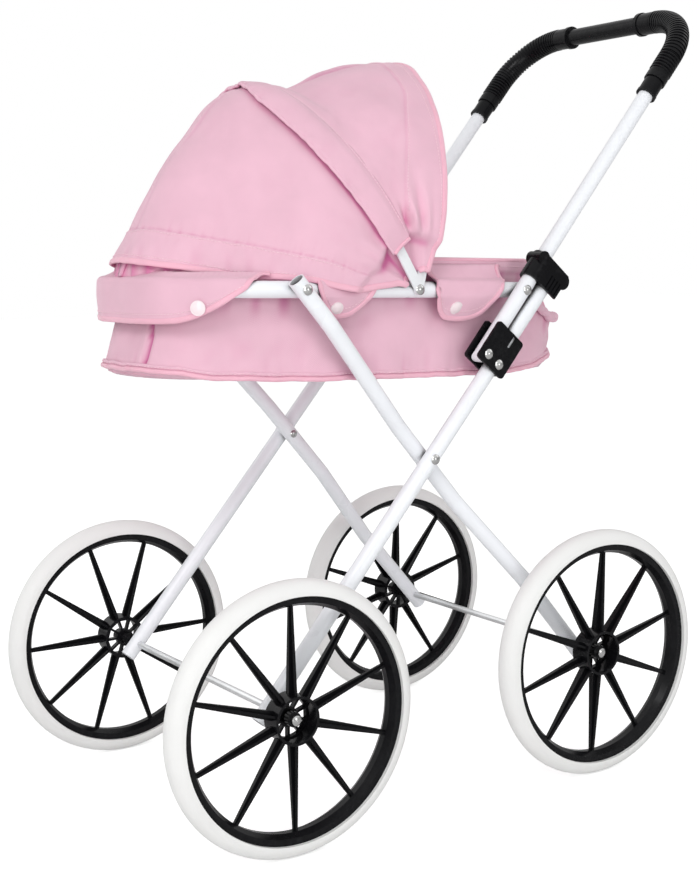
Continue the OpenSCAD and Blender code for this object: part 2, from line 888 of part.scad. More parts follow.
// Handle tube; its closed nose is rounded about the rivet to swing clear of the leg
module handle_half() {
  run = handle_len - elbow_r;
  nose = 7.7;
  difference() {
    along_handle()
      translate([leg_x, 0, 0]) {
        difference() {
          intersection() {
            translate([0, 0, -nose])
              cylinder(h = run + nose, r = tube_r);
            union() {
              xrod(-20, 20, nose);
              translate([-20, -20, 0])
                cube([40, 40, run]);
            }
          }
          cylinder(h = run + 1, r = bore_r);
          xrod(-bore_r + 0.6, bore_r - 0.6, bore_r - 0.6);
        }
        translate([0, 0, run])
          bend(elbow_r, tube_r, bore_r);
        translate([-elbow_r, 0, handle_len])
          rotate([0, -90, 0])
            pipe(leg_x - elbow_r - 0.5, tube_r, bore_r);
      }
    xrod_at(fold, leg_x - 20, leg_x + 20, rivet_r + run_gap);
    xrod_at(rail_rear, leg_x - 20, leg_x + 20, rivet_r);
  }
}

// Spigot that joins the two handle halves inside the grip bar
module joiner() {
  along_handle()
    translate([0, 0, handle_len])
      xrod(-30, 30, bore_r - 0.02);
}

module handle_rivet_pair() {
  for (s = [1, -1])
    on_side(s)
      translate([0, rail_rear[0], rail_rear[1]]) {
        xrod(leg_x - tube_r - 0.2, leg_x + tube_r, rivet_r);
        translate([leg_x + tube_r, 0, 0])
          head(head_r, 2.2);
      }
}

collar_s = 299;
sleeve_s = 317;

module tube_collar() {
  along_handle()
    translate([leg_x, 0, collar_s]) {
      pipe(sleeve_s - collar_s + 6, tube_r + 2.1, tube_r + 0.05);
      pipe(3, tube_r + 2.6, tube_r + 0.05);
    }
}

rib_pitch = 3.4;

// Saw-edged ring profile of the sleeve, revolved at every rib
module rib(r) {
  rotate_extrude()
    polygon([[tube_r + 0.1, 0], [r - 1.2, 0], [r, rib_pitch * 0.28], [r, rib_pitch * 0.62],
      [r - 1.2, rib_pitch], [tube_r + 0.1, rib_pitch]]);
}

module ribbed_sleeve() {
  run = handle_len - elbow_r;
  r = sleeve_d / 2;
  n = floor((run - sleeve_s - 6) / rib_pitch);
  along_handle()
    translate([leg_x, 0, 0]) {
      // plain cuff, ribs up the straight, ribs round the bend, ribs to the grip
      translate([0, 0, sleeve_s + 6 - 7])
        pipe(7 + eps, r - 0.4, tube_r + 2.15);
      translate([0, 0, run - n * rib_pitch])
        for (i = [0:n - 1])
          translate([0, 0, i * rib_pitch])
            rib(r);
      translate([0, 0, sleeve_s + 6])
        pipe(run - n * rib_pitch - sleeve_s - 6 + eps, r - 0.8, tube_r + 0.1);
      translate([0, 0, run])
        bend(elbow_r, r - 0.8, tube_r + 0.1);
      for (i = [0:23])
        translate([-elbow_r, 0, run])
          rotate([0, -(i + 0.5) * 90 / 24, 0])
            translate([elbow_r, 0, -0.9])
              pipe(1.8, r, r - 1.5);
      translate([-elbow_r, 0, handle_len])
        rotate([0, -90, 0])
          pipe(leg_x - elbow_r - grip_half - 4, r - 0.3, tube_r + 0.1);
    }
}

module ring_pair() {
  for (s = [1, -1])
    on_side(s)
      along_handle()
        translate([grip_half, 0, handle_len])
          rotate([0, 90, 0])
            pipe(3.9, sleeve_d / 2 + 0.6, tube_r + 0.1);
}

module bar() {
  along_handle()
    translate([-grip_half, 0, handle_len])
      rotate([0, 90, 0])
        pipe(2 * grip_half, grip_d / 2, tube_r + 0.05);
}

// ---------- nodes ----------

module leg_front_left() {
  color(white)
    place()
      on_side(1)
        front_leg();
}

module leg_front_right() {
  color(white)
    place()
      on_side(-1)
        front_leg();
}

module axle_front() {
  color(steel)
    axle(0);
}

module axle_caps_front() {
  color(steel)
    axle_caps(0);
}

module axle_spacers_front() {
  color(black)
    axle_spacers(0, leg_x);
}

module cross_rivet_left() {
  color(steel)
    place()
      on_side(1)
        rivet(cross, back_leg_x - tube_r, leg_x + tube_r);
}

module cross_rivet_right() {
  color(steel)
    place()
      on_side(-1)
        rivet(cross, back_leg_x - tube_r, leg_x + tube_r);
}

module fold_bracket_left() {
  color(black)
    place()
      on_side(1)
        bracket();
}

module fold_bracket_right() {
  color(black)
    place()
      on_side(-1)
        bracket();
}

module bracket_rivets() {
  color(steel)
    place()
      bracket_rivets_pair();
}

module wheel_front_left() {
  color(black)
    at_wheel(1, 0, 0)
      wheel();
}

module tyre_front_left() {
  color(tyre_white)
    at_wheel(1, 0, 0)
      tyre();
}

module wheel_front_right() {
  color(black)
    at_wheel(-1, 0, 18)
      wheel();
}

module tyre_front_right() {
  color(tyre_white)
    at_wheel(-1, 0, 18)
      tyre();
}

module wheel_rear_left() {
  color(black)
    at_wheel(1, wheelbase, -4)
      wheel();
}

module tyre_rear_left() {
  color(tyre_white)
    at_wheel(1, wheelbase, -4)
      tyre();
}

module wheel_rear_right() {
  color(black)
    at_wheel(-1, wheelbase, -3)
      wheel();
}

module tyre_rear_right() {
  color(tyre_white)
    at_wheel(-1, wheelbase, -3)
      tyre();
}

module leg_rear_left() {
  color(white)
    place()
      on_side(1)
        rear_leg();
}

module leg_rear_right() {
  color(white)
    place()
      on_side(-1)
        rear_leg();
}

module axle_rear() {
  color(steel)
    axle(wheelbase);
}

module axle_caps_rear() {
  color(steel)
    axle_caps(wheelbase);
}

module axle_spacers_rear() {
  color(black)
    axle_spacers(wheelbase, foot_x);
}

module rail_left() {
  color(white)
    place()
      on_side(1)
        cot_frame()
          rail();
}

module rail_right() {
  color(white)
    place()
      on_side(-1)
        cot_frame()
          rail();
}

module front_hoop() {
  color(white)
    place()
      cot_frame()
        hoop();
}

module foot_wire() {
  color(steel)
    place()
      cot_frame()
        hem_wire();
}

module base_board() {
  color(pink)
    place()
      cot_frame()
        board();
}

module cot_fabric() {
  color(pink)
    place()
      cot_frame()
        cot_shell();
}

module front_flap() {
  color(pink)
    place()
      cot_frame()
        nose_flap();
}

module side_flaps_left() {
  color(pink)
    place()
      on_side(1)
        cot_frame()
          flap_pair();
}

module side_flaps_right() {
  color(pink)
    place()
      on_side(-1)
        cot_frame()
          flap_pair();
}

module flap_snaps() {
  color(white)
    place()
      cot_frame()
        snaps();
}

module rail_rivets() {
  color(steel)
    place()
      rail_rivet_pair();
}

module hood_rivets() {
  color(steel)
    place()
      hood_rivet_pair();
}

module hood_bow_middle() {
  color(white)
    place()
      hood_bow(mid_lean, stay_in + 2 * stay_t + 0.2, bow_h);
}

module hood_panel_front() {
  color(pink)
    place()
      panel_front();
}

module hood_bow_rear() {
  color(white)
    place()
      hood_bow(-rear_bow_lean, stay_in + stay_t, bow_h + rear_rise);
}

module hood_panel_rear() {
  color(pink)
    place()
      panel_rear();
}

module handle_tube_left() {
  color(white)
    place()
      on_side(1)
        handle_half();
}

module handle_tube_right() {
  color(white)
    place()
      on_side(-1)
        handle_half();
}

module handle_joiner() {
  color(steel)
    place()
      joiner();
}

module collar_left() {
  color(black)
    place()
      on_side(1)
        tube_collar();
}

module collar_right() {
  color(black)
    place()
      on_side(-1)
        tube_collar();
}

module elbow_sleeve_left() {
  color(black)
    place()
      on_side(1)
        ribbed_sleeve();
}

module elbow_sleeve_right() {
  color(black)
    place()
      on_side(-1)
        ribbed_sleeve();
}

module sleeve_rings() {
  color(black)
    place()
      ring_pair();
}

module grip_bar() {
  color(black)
    place()
      bar();
}

module rail_handle_rivets() {
  color(steel)
    place()
      handle_rivet_pair();
}

module lock_clip_left() {
  color(black)
    place()
      on_side(1)
        along_handle()
          lock_clip();
}

module lock_clip_right() {
  color(black)
    place()
      on_side(-1)
        along_handle()
          lock_clip();
}

leg_front_left();
leg_front_right();
axle_front();
axle_caps_front();
axle_spacers_front();
cross_rivet_left();
cross_rivet_right();
fold_bracket_left();
fold_bracket_right();
bracket_rivets();
wheel_front_left();
tyre_front_left();
wheel_front_right();
tyre_front_right();
wheel_rear_left();
tyre_rear_left();
wheel_rear_right();
tyre_rear_right();
leg_rear_left();
leg_rear_right();
axle_rear();
axle_caps_rear();
axle_spacers_rear();
rail_left();
rail_right();
front_hoop();
foot_wire();
base_board();
cot_fabric();
front_flap();
side_flaps_left();
side_flaps_right();
flap_snaps();
rail_rivets();
hood_rivets();
hood_bow_middle();
hood_panel_front();
hood_bow_rear();
hood_panel_rear();
handle_tube_left();
handle_tube_right();
handle_joiner();
collar_left();
collar_right();
elbow_sleeve_left();
elbow_sleeve_right();
sleeve_rings();
grip_bar();
rail_handle_rivets();
lock_clip_left();
lock_clip_right();
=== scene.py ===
"""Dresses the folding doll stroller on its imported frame.

The frame brings every tube, wheel, rivet and bracket in place. This script sews the
hood, the carrycot and its flaps around it, and gives each piece its finish.
"""

import logging
import math
from dataclasses import dataclass, field
from enum import Enum
from typing import Callable, Sequence

import bpy
import numpy as np
from mathutils import Matrix, Vector


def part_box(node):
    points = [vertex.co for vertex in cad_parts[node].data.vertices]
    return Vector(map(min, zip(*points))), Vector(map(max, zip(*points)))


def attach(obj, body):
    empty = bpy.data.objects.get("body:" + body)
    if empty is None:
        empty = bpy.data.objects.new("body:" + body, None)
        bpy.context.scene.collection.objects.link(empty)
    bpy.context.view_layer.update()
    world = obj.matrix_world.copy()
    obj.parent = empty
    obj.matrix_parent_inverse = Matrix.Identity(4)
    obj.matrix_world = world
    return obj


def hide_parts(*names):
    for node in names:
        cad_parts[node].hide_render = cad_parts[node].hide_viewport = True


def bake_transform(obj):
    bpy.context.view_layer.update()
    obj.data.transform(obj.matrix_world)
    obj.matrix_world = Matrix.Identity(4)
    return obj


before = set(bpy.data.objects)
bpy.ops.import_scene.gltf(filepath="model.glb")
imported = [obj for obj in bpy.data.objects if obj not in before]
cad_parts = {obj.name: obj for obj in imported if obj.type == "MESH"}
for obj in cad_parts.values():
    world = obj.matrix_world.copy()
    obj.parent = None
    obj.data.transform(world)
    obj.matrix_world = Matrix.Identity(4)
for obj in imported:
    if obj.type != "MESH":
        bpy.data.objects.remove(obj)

LOG = logging.getLogger("stroller")
MM = 0.001
COT_SLOPE = math.radians(1.7)
Array = np.ndarray
Colour = tuple[float, float, float]
Faces = list[tuple[int, ...]]
Line = tuple[Array, Array]
Object = bpy.types.Object
Socket = bpy.types.NodeSocket


class Side(Enum):
    """Side of the stroller; the value is the sign of X."""

    LEFT = 1
    RIGHT = -1


class Slot(Enum):
    """Material slots of the record; the sewn pieces name one, but nothing reads it."""

    FABRIC = "fabric"
    BOARD = "board"


# ---------------------------------------------------------------- number helpers


def smooth(x: Array | float) -> Array:
    """Smooth step of x from 0 to 1."""
    x = np.clip(x, 0.0, 1.0)
    return x * x * (3 - 2 * x)


def ramp(x: Array, lo: float, hi: float) -> Array:
    """Smooth rise from 0 at lo to 1 at hi; falls if lo is above hi."""
    return smooth((np.asarray(x, float) - lo) / (hi - lo))


def ridge(x: Array, centre: float, width: float) -> Array:
    """Round ridge of height 1 about centre, with the given half width."""
    return np.exp(-(((np.asarray(x, float) - centre) / width) ** 2))


def curve(x: Array, xs: Sequence[float], ys: Sequence[float]) -> Array:
    """Smooth curve through the points (xs, ys) that never overshoots them.

    Args:
        x: where to read the curve.
        xs: rising positions of the given points.
        ys: their values.

    Returns:
        The curve's values at x, held level past both ends.
    """
    xs, ys = np.asarray(xs, float), np.asarray(ys, float)
    h = np.diff(xs)
    slope = np.diff(ys) / h
    same = slope[:-1] * slope[1:] > 0
    w1, w2 = 2 * h[1:] + h[:-1], h[1:] + 2 * h[:-1]
    lean1, lean2 = np.where(same, slope[:-1], 1), np.where(same, slope[1:], 1)
    m = np.concatenate([slope[:1], np.where(same, (w1 + w2) / (w1 / lean1 + w2 / lean2), 0.0),
                        slope[-1:]])
    x = np.clip(np.asarray(x, float), xs[0], xs[-1])
    k = np.clip(np.searchsorted(xs, x) - 1, 0, len(h) - 1)
    t = (x - xs[k]) / h[k]
    return (ys[k] * (1 + 2 * t) * (1 - t) ** 2 + h[k] * m[k] * t * (1 - t) ** 2
            + ys[k + 1] * t * t * (3 - 2 * t) + h[k] * m[k + 1] * t * t * (t - 1))


@dataclass(frozen=True)
class Crumple:
    """Seeded soft noise of a cloth's small folds."""

    seed: int
    size: float
    waves: int = 9

    def at(self, u: Array, v: Array) -> Array:
        """Soft noise over the cloth.

        Args:
            u: position along the cloth in millimetres.
            v: position across it.

        Returns:
            Values of about -1 to 1.
        """
        rng = np.random.default_rng(self.seed)
        total = np.zeros(np.broadcast(u, v).shape)
        for _ in range(self.waves):
            angle, phase = rng.uniform(0, 2 * np.pi, 2)
            pitch = self.size * rng.uniform(0.7, 1.9)
            across = u * np.cos(angle) + v * np.sin(angle)
            total += np.cos(across * 2 * np.pi / pitch + phase)
        return total / math.sqrt(self.waves)

    def along(self, u: Array) -> Array:
        """Uneven gathers along one direction.

        Args:
            u: position along the cloth in millimetres.

        Returns:
            Values of about -1 to 1.
        """
        rng = np.random.default_rng(self.seed)
        total = np.zeros(np.shape(u))
        for _ in range(self.waves):
            pitch, phase = self.size * rng.uniform(0.6, 1.8), rng.uniform(0, 2 * np.pi)
            total += np.cos(np.asarray(u, float) * 2 * np.pi / pitch + phase)
        return total / math.sqrt(self.waves)


# ---------------------------------------------------------------- mesh helpers


def unit(v: Array) -> Array:
    """Vectors of length 1 along the last axis."""
    return v / np.maximum(np.linalg.norm(v, axis=-1, keepdims=True), 1e-9)


def grid_normals(p: Array, around: bool = False) -> Array:
    """Normals of a grid of points.

    Args:
        p: the grid (rows, columns, 3).
        around: True where the last column meets the first.

    Returns:
        Unit normals, along the cross product of the row and column directions.
    """
    du = ((np.roll(p, -1, axis=1) - np.roll(p, 1, axis=1)) / 2 if around
          else np.gradient(p, axis=1))
    return unit(np.cross(du, np.gradient(p, axis=0)))


def link(name: str, data: bpy.types.ID) -> Object:
    """Links a new object to the scene.

    Args:
        name: the name of the object.
        data: its mesh, camera or lamp.

    Returns:
        The object.
    """
    obj = bpy.data.objects.new(name, data)
    bpy.context.scene.collection.objects.link(obj)
    return obj


def new_mesh(name: str, points: Array, faces: Faces, uv: Array | None = None) -> Object:
    """Links a smooth-shaded mesh.

    Args:
        name: the piece's name.
        points: row-frame points in metres.
        faces: point numbers of each face.
        uv: cloth coordinates of each point, if it has any.

    Returns:
        The new object.
    """
    mesh = bpy.data.meshes.new(name)
    mesh.from_pydata([tuple(p) for p in np.asarray(points, float)], [], faces)
    mesh.validate()
    if uv is not None:
        layer = mesh.uv_layers.new(name="cloth")
        loops = np.zeros(len(mesh.loops), np.int32)
        mesh.loops.foreach_get("vertex_index", loops)
        layer.data.foreach_set("uv", np.asarray(uv, np.float32)[loops].ravel())
    mesh.shade_smooth()
    return link(name, mesh)


def grid_faces(rows: int, cols: int, start: int = 0, around: bool = False,
               flip: bool = False) -> Faces:
    """Quads of a grid of points numbered row by row from start.

    Args:
        rows: rows of points.
        cols: points in a row.
        start: number of the first point.
        around: True where the last column meets the first.
        flip: True to turn the faces over.

    Returns:
        The quads.
    """
    faces = []
    for j in range(rows - 1):
        for i in range(cols if around else cols - 1):
            a, b = start + j * cols + i, start + j * cols + (i + 1) % cols
            quad = (a, b, b + cols, a + cols)
            faces.append(quad[::-1] if flip else quad)
    return faces


def tube_faces(rings: int, sides: int, start: int = 0, closed: bool = False) -> Faces:
    """Faces of a tube of rings of points.

    Args:
        rings: rings along the tube.
        sides: points in a ring.
        start: number of the first point.
        closed: True to join the last ring to the first.

    Returns:
        The faces, with a cap at each end unless closed.
    """
    faces = grid_faces(rings, sides, start, True)
    last = start + (rings - 1) * sides
    if closed:
        return faces + [(last + i, last + (i + 1) % sides, start + (i + 1) % sides, start + i)
                        for i in range(sides)]
    return faces + [tuple(range(start, start + sides))[::-1], tuple(range(last, last + sides))]


def valley_shade(height: Array, around: bool) -> Array:
    """Painted shade of a relief: how deep it lies below its neighbours.

    Args:
        height: the relief in millimetres.
        around: True where its last column meets the first.

    Returns:
        Depth of each point, from 0 to 1, as painted shade.
    """
    passes, full, darkest = 5, 2.0, 0.7
    low = np.asarray(height, float)
    for _ in range(passes):
        for axis in (0, 1):
            pad = [(1, 1) if k == axis else (0, 0) for k in (0, 1)]
            wide = np.pad(low, pad, mode="wrap" if around and axis == 1 else "edge")
            at = np.arange(low.shape[axis])
            low = sum(np.take(wide, at + k, axis) for k in (0, 1, 2)) / 3
    return np.clip((low - height) / full, 0.0, darkest)


@dataclass
class Sheet:
    """A cut of cloth as a grid of points in millimetres, with its own thickness and painted
    shade.
    """

    points: Array
    thickness: float = 1.1
    around: bool = False
    outward: float = 1.0
    # Painted shade of each point, from 0 to 1.
    shade: Array | float = 0.0

    def turn(self, row: int, col: int, way: Sequence[float]) -> "Sheet":
        """Picks the outer face by its direction at one point.

        Args:
            row: row of the point.
            col: its column.
            way: direction that the outer face looks in.

        Returns:
            The sheet itself.
        """
        n = grid_normals(self.points, self.around)[row, col]
        self.outward = 1.0 if float(n @ np.asarray(way)) > 0 else -1.0
        return self

    def normals(self) -> Array:
        """Outward normals of the grid."""
        return grid_normals(self.points, self.around) * self.outward

    def raise_by(self, height: Array) -> None:
        """Moves every point along its normal by height in millimetres, and paints shade into the
        valleys.
        """
        self.shade = self.shade + valley_shade(height, self.around)
        self.points = self.points + self.normals() * np.asarray(height)[..., None]

    def build(self, name: str, place: Callable[[Array], Array]) -> Object:
        """Makes the closed cloth mesh, with its painted shade on every point.

        Args:
            name: the piece's name.
            place: turns millimetre points into row-frame metres.

        Returns:
            The new object.
        """
        p = self.points
        rows, cols = p.shape[:2]
        n = rows * cols
        flip = self.outward < 0
        faces = grid_faces(rows, cols, 0, self.around, flip)
        faces += grid_faces(rows, cols, n, self.around, not flip)
        at = np.arange(n).reshape(rows, cols)
        rims = [(at[0], not flip), (at[-1], flip)] if self.around else [(np.concatenate(
            [at[0], at[1:, -1], at[-1, -2::-1], at[-2:0:-1, 0]]), not flip)]
        for rim, turned in rims:
            for a, b in zip(rim.tolist(), np.roll(rim, -1).tolist()):
                quad = (a, b, b + n, a + n)
                faces.append(quad[::-1] if turned else quad)
        u, v = (np.cumsum(np.linalg.norm(np.diff(p, axis=k), axis=2), axis=k) for k in (1, 0))
        uv = np.stack([np.pad(u, ((0, 0), (1, 0))), np.pad(v, ((1, 0), (0, 0)))], axis=-1)
        uv = uv.reshape(-1, 2) * MM
        both = np.concatenate([p, p - self.normals() * self.thickness]).reshape(-1, 3)
        obj = new_mesh(name, place(both), faces, np.concatenate([uv, uv]))
        # Painted shade of each point, on both faces, for the cloth finish.
        depth = np.clip(self.shade * np.ones((rows, cols)), 0.0, 1.0).ravel()
        layer = obj.data.attributes.new("fold", "FLOAT", "POINT")
        layer.data.foreach_set("value", np.tile(depth, 2).astype(np.float32))
        return obj


def lengths(p: Array) -> Array:
    """Distance along a polyline at each of its points."""
    return np.concatenate([[0], np.cumsum(np.linalg.norm(np.diff(p, axis=0), axis=1))])


def border(grid: Array, top: int) -> Array:
    """Edge of a grid: its first column from row top, its last row, and back up the side."""
    return np.concatenate([grid[top:-1, 0], grid[-1], grid[top:-1, -1][::-1]])


def cord_mesh(name: str, p: Array, facing: Array, width: float, height: float,
              place: Callable[[Array], Array], closed: bool = False,
              square: float = 0.75) -> Object:
    """Sweeps a flattened round section along p, such as a binding or piping.

    Args:
        name: the piece's name.
        p: middle line in millimetres.
        facing: surface normal at each point of p.
        width: full width across the surface.
        height: full height along the normal.
        place: turns millimetre points into row-frame metres.
        closed: True for an endless loop.
        square: below 1 makes the section squarer.

    Returns:
        The new object.
    """
    sides, count = 12, len(p)
    tangent = unit(np.roll(p, -1, axis=0) - np.roll(p, 1, axis=0) if closed
                   else np.gradient(p, axis=0))
    facing = unit(facing - tangent * (facing * tangent).sum(1, keepdims=True))
    across = np.cross(tangent, facing)
    a = np.arange(sides) * 2 * np.pi / sides
    ca, sa = (np.sign(c) * np.abs(c) ** square for c in (np.cos(a), np.sin(a)))
    rings = (p[:, None] + across[:, None] * (ca * width / 2)[None, :, None]
             + facing[:, None] * (sa * height / 2)[None, :, None])
    uv = np.stack([np.repeat(lengths(p), sides),
                   np.tile(np.arange(sides) * (width + height) / sides, count)], axis=1) * MM
    faces = tube_faces(count, sides, closed=closed)
    return new_mesh(name, place(rings.reshape(-1, 3)), faces, uv)


def read_line(p: Array, s: Array, at: Array) -> Array:
    """Points of the polyline p, with distances s, at other distances."""
    return np.stack([np.interp(at, s, p[:, k]) for k in range(3)], axis=1)


def stitch_mesh(name: str, lines: list[Line], place: Callable[[Array], Array]) -> Object:
    """Makes rows of separate thread stitches.

    Args:
        name: the piece's name.
        lines: points and normals of each row.
        place: turns millimetre points into row-frame metres.

    Returns:
        The new object.
    """
    pitch, length, thick, lift, sides = 3.2, 2.3, 0.42, 0.12, 5
    spine = np.array([-0.5, -0.36, 0.0, 0.36, 0.5]) * length
    swell = (0.35, 0.85, 1.0, 0.85, 0.35)
    turns = [2 * math.pi * k / sides for k in range(sides)]
    pts: list[Array] = []
    faces: Faces = []
    for p, facing in lines:
        s = lengths(p)
        at = np.arange(pitch / 2, s[-1], pitch)
        out = unit(read_line(facing, s, at))
        step = read_line(p, s, at + 0.5) - read_line(p, s, at - 0.5)
        run = unit(step - out * (step * out).sum(1, keepdims=True))
        for m, r, o, c in zip(read_line(p, s, at), run, out, np.cross(run, out)):
            faces += tube_faces(len(spine), sides, len(pts) * len(spine) * sides)
            pts.append(np.array([
                m + r * t + (c * math.cos(a) + o * math.sin(a)) * thick * w + o * lift
                for t, w in zip(spine, swell) for a in turns]))
    return new_mesh(name, place(np.concatenate(pts)), faces)


# ---------------------------------------------------------------- shared shader effects


class NodeKit:
    """Short names for building node trees."""

    def __init__(self, tree: bpy.types.NodeTree) -> None:
        """Keeps the tree to build in."""
        self.tree = tree

    def put(self, socket: Socket, value: object) -> None:
        """Links or sets an input.

        Args:
            socket: the input.
            value: a socket to link, or a plain value.
        """
        if isinstance(value, Socket):
            self.tree.links.new(value, socket)
        else:
            socket.default_value = value

    def add(self, kind: str, **values: object) -> bpy.types.Node:
        """Adds a node with its values.

        Args:
            kind: type of the node.
            values: its properties, or its inputs for names in capitals.

        Returns:
            The node.
        """
        node = self.tree.nodes.new(kind)
        for key, value in values.items():
            if hasattr(node, key):
                setattr(node, key, value)
            else:
                self.put(node.inputs[key], value)
        return node

    def math(self, op: str, a: object, b: object = 0.0, clamp: bool = False) -> Socket:
        """Adds a Math node.

        Args:
            op: the operation.
            a: first value or socket.
            b: second value or socket.
            clamp: True to keep the result between 0 and 1.

        Returns:
            The result.
        """
        node = self.add("ShaderNodeMath", operation=op, use_clamp=clamp)
        self.put(node.inputs[0], a)
        self.put(node.inputs[1], b)
        return node.outputs[0]

    def plus(self, a: object, b: object, clamp: bool = False) -> Socket:
        """Sum of two values or sockets."""
        return self.math("ADD", a, b, clamp)

    def minus(self, a: object, b: object) -> Socket:
        """Difference of two values or sockets."""
        return self.math("SUBTRACT", a, b)

    def times(self, a: object, b: object, clamp: bool = False) -> Socket:
        """Product of two values or sockets."""
        return self.math("MULTIPLY", a, b, clamp)

    def above(self, x: Socket, start: object, gain: float) -> Socket:
        """How far x is above start, times gain, kept between 0 and 1."""
        return self.times(self.minus(x, start), gain, True)

    def mix(self, factor: object, a: object, b: object) -> Socket:
        """Adds a colour mix.

        Args:
            factor: share of b.
            a: first colour or socket.
            b: second colour or socket.

        Returns:
            The mixed colour.
        """
        node = self.add("ShaderNodeMix", data_type="RGBA")
        for index, value in ((0, factor), (6, a), (7, b)):
            self.put(node.inputs[index], value)
        return node.outputs[2]

    def noise(self, vector: Socket, scale: object, detail: float = 2.0,
              roughness: float = 0.5) -> Socket:
        """The factor of a Noise Texture."""
        return self.add("ShaderNodeTexNoise", Detail=detail, Roughness=roughness, Scale=scale,
                        Vector=vector).outputs[0]

    def bump(self, height: Socket, strength: float, distance: float) -> Socket:
        """The normal of a Bump node over height."""
        return self.add("ShaderNodeBump", Strength=strength, Distance=distance,
                        Height=height).outputs["Normal"]


class Effect:
    """A shader node group with a vector and named numbers as inputs, built once."""

    inputs: dict[str, float] = {}
    outputs: tuple[str, ...] = ("Mask",)

    def group(self) -> bpy.types.NodeTree:
        """Builds the group at its first use.

        Returns:
            The node group, with its sockets.
        """
        name = type(self).__name__
        found = bpy.data.node_groups.get(name)
        if found:
            return found
        tree = bpy.data.node_groups.new(name, "ShaderNodeTree")
        new, number = tree.interface.new_socket, "NodeSocketFloat"
        new("Vector", in_out="INPUT", socket_type="NodeSocketVector")
        for key, value in self.inputs.items():
            new(key, in_out="INPUT", socket_type=number).default_value = value
        for key in self.outputs:
            new(key, in_out="OUTPUT", socket_type=number)
        kit = NodeKit(tree)
        given = kit.add("NodeGroupInput").outputs
        out = kit.add("NodeGroupOutput").inputs
        made = self.build(kit, *(given[key] for key in ("Vector", *self.inputs)))
        for key, socket in zip(self.outputs, made):
            kit.put(out[key], socket)
        return tree

    def build(self, kit: NodeKit, *given: Socket) -> Sequence[Socket]:
        """Fills the group from its inputs; gives the sockets of its outputs."""
        raise NotImplementedError

    def place(self, kit: NodeKit, vector: Socket, **values: float) -> dict[str, Socket]:
        """Adds the effect to a material with its own values; gives its outputs."""
        return kit.add("ShaderNodeGroup", node_tree=self.group(), Vector=vector,
                       **values).outputs


class Weave(Effect):
    """Plain weave of warp and weft threads with uneven yarn."""

    inputs = {"Pitch": 0.0008, "Slub": 0.3}
    outputs = ("Height", "Gap")

    def build(self, kit: NodeKit, *given: Socket) -> Sequence[Socket]:
        """Crosses two sine ribs, offset at every other thread.

        Args:
            kit: builds the group's nodes.
            given: the group's inputs in order.

        Returns:
            Its outputs in order.
        """
        vector, pitch, slub = given
        split = kit.add("ShaderNodeSeparateXYZ", Vector=vector).outputs
        turn = kit.math("DIVIDE", 2 * math.pi, pitch)
        drift = kit.minus(kit.noise(vector, 90.0, 1.0), 0.5)
        shift = kit.times(drift, kit.times(slub, 12.0))
        warp = kit.math("SINE", kit.plus(kit.times(split["X"], turn), shift))
        weft = kit.math("SINE", kit.minus(kit.times(split["Y"], turn), shift))
        height = kit.plus(kit.times(kit.times(warp, weft), 0.5), 0.5)
        return height, kit.math("POWER", kit.minus(1.0, height), 4.0)


class Mottle(Effect):
    """Slow, soft change of shade over a surface."""

    inputs = {"Scale": 20.0}
    outputs = ("Mask", "Fine")

    def build(self, kit: NodeKit, *given: Socket) -> Sequence[Socket]:
        """Two sizes of noise.

        Args:
            kit: builds the group's nodes.
            given: the group's inputs in order.

        Returns:
            Its outputs in order.
        """
        vector, scale = given
        fine = kit.noise(vector, kit.times(scale, 14.0), 2.0)
        return kit.above(kit.noise(vector, scale, 3.0), 0.3, 2.5), fine


class EdgeWear(Effect):
    """Mask of rubbed edges, broken up by noise."""

    inputs = {"Amount": 0.3}

    def build(self, kit: NodeKit, *given: Socket) -> Sequence[Socket]:
        """Takes the pointed places of the mesh where the noise is high.

        Args:
            kit: builds the group's nodes.
            given: the group's inputs in order.

        Returns:
            Its outputs in order.
        """
        vector, amount = given
        point = kit.add("ShaderNodeNewGeometry").outputs["Pointiness"]
        speck = kit.above(kit.noise(vector, 260.0, 4.0, 0.7), 0.42, 5.0)
        return (kit.times(kit.times(kit.above(point, 0.53, 9.0), speck), amount),)


class Scuffs(Effect):
    """Fine handling scratches and dull patches."""

    inputs = {"Amount": 0.3}
    outputs = ("Mask", "Dull")

    def build(self, kit: NodeKit, *given: Socket) -> Sequence[Socket]:
        """Stretches noise one way for scratches and keeps soft noise for the patches.

        Args:
            kit: builds the group's nodes.
            given: the group's inputs in order.

        Returns:
            Its outputs in order.
        """
        vector, amount = given
        lay = kit.add("ShaderNodeMapping", Vector=vector, Rotation=(0.4, 0.3, 0.7),
                      Scale=(900.0, 60.0, 60.0)).outputs[0]
        line = kit.above(kit.noise(lay, 1.0, 2.0, 0.6), 0.66, 9.0)
        return kit.times(line, amount), kit.noise(vector, 34.0, 3.0)


class Grain(Effect):
    """Fine moulded or sprayed surface grain."""

    inputs = {"Scale": 900.0}
    outputs = ("Height",)

    def build(self, kit: NodeKit, *given: Socket) -> Sequence[Socket]:
        """One fine noise."""
        vector, scale = given
        return (kit.noise(vector, scale, 2.0, 0.55),)


class DustFilm(Effect):
    """Mask of dust that settles on faces that look up."""

    inputs = {"Amount": 0.1}

    def build(self, kit: NodeKit, *given: Socket) -> Sequence[Socket]:
        """Upward-facing share times noise.

        Args:
            kit: builds the group's nodes.
            given: the group's inputs in order.

        Returns:
            Its outputs in order.
        """
        vector, amount = given
        normal = kit.add("ShaderNodeNewGeometry").outputs["Normal"]
        height = kit.add("ShaderNodeSeparateXYZ", Vector=normal).outputs["Z"]
        speck = kit.noise(vector, 150.0, 5.0, 0.65)
        return (kit.times(kit.times(kit.above(height, 0.3, 1.4), speck), amount),)


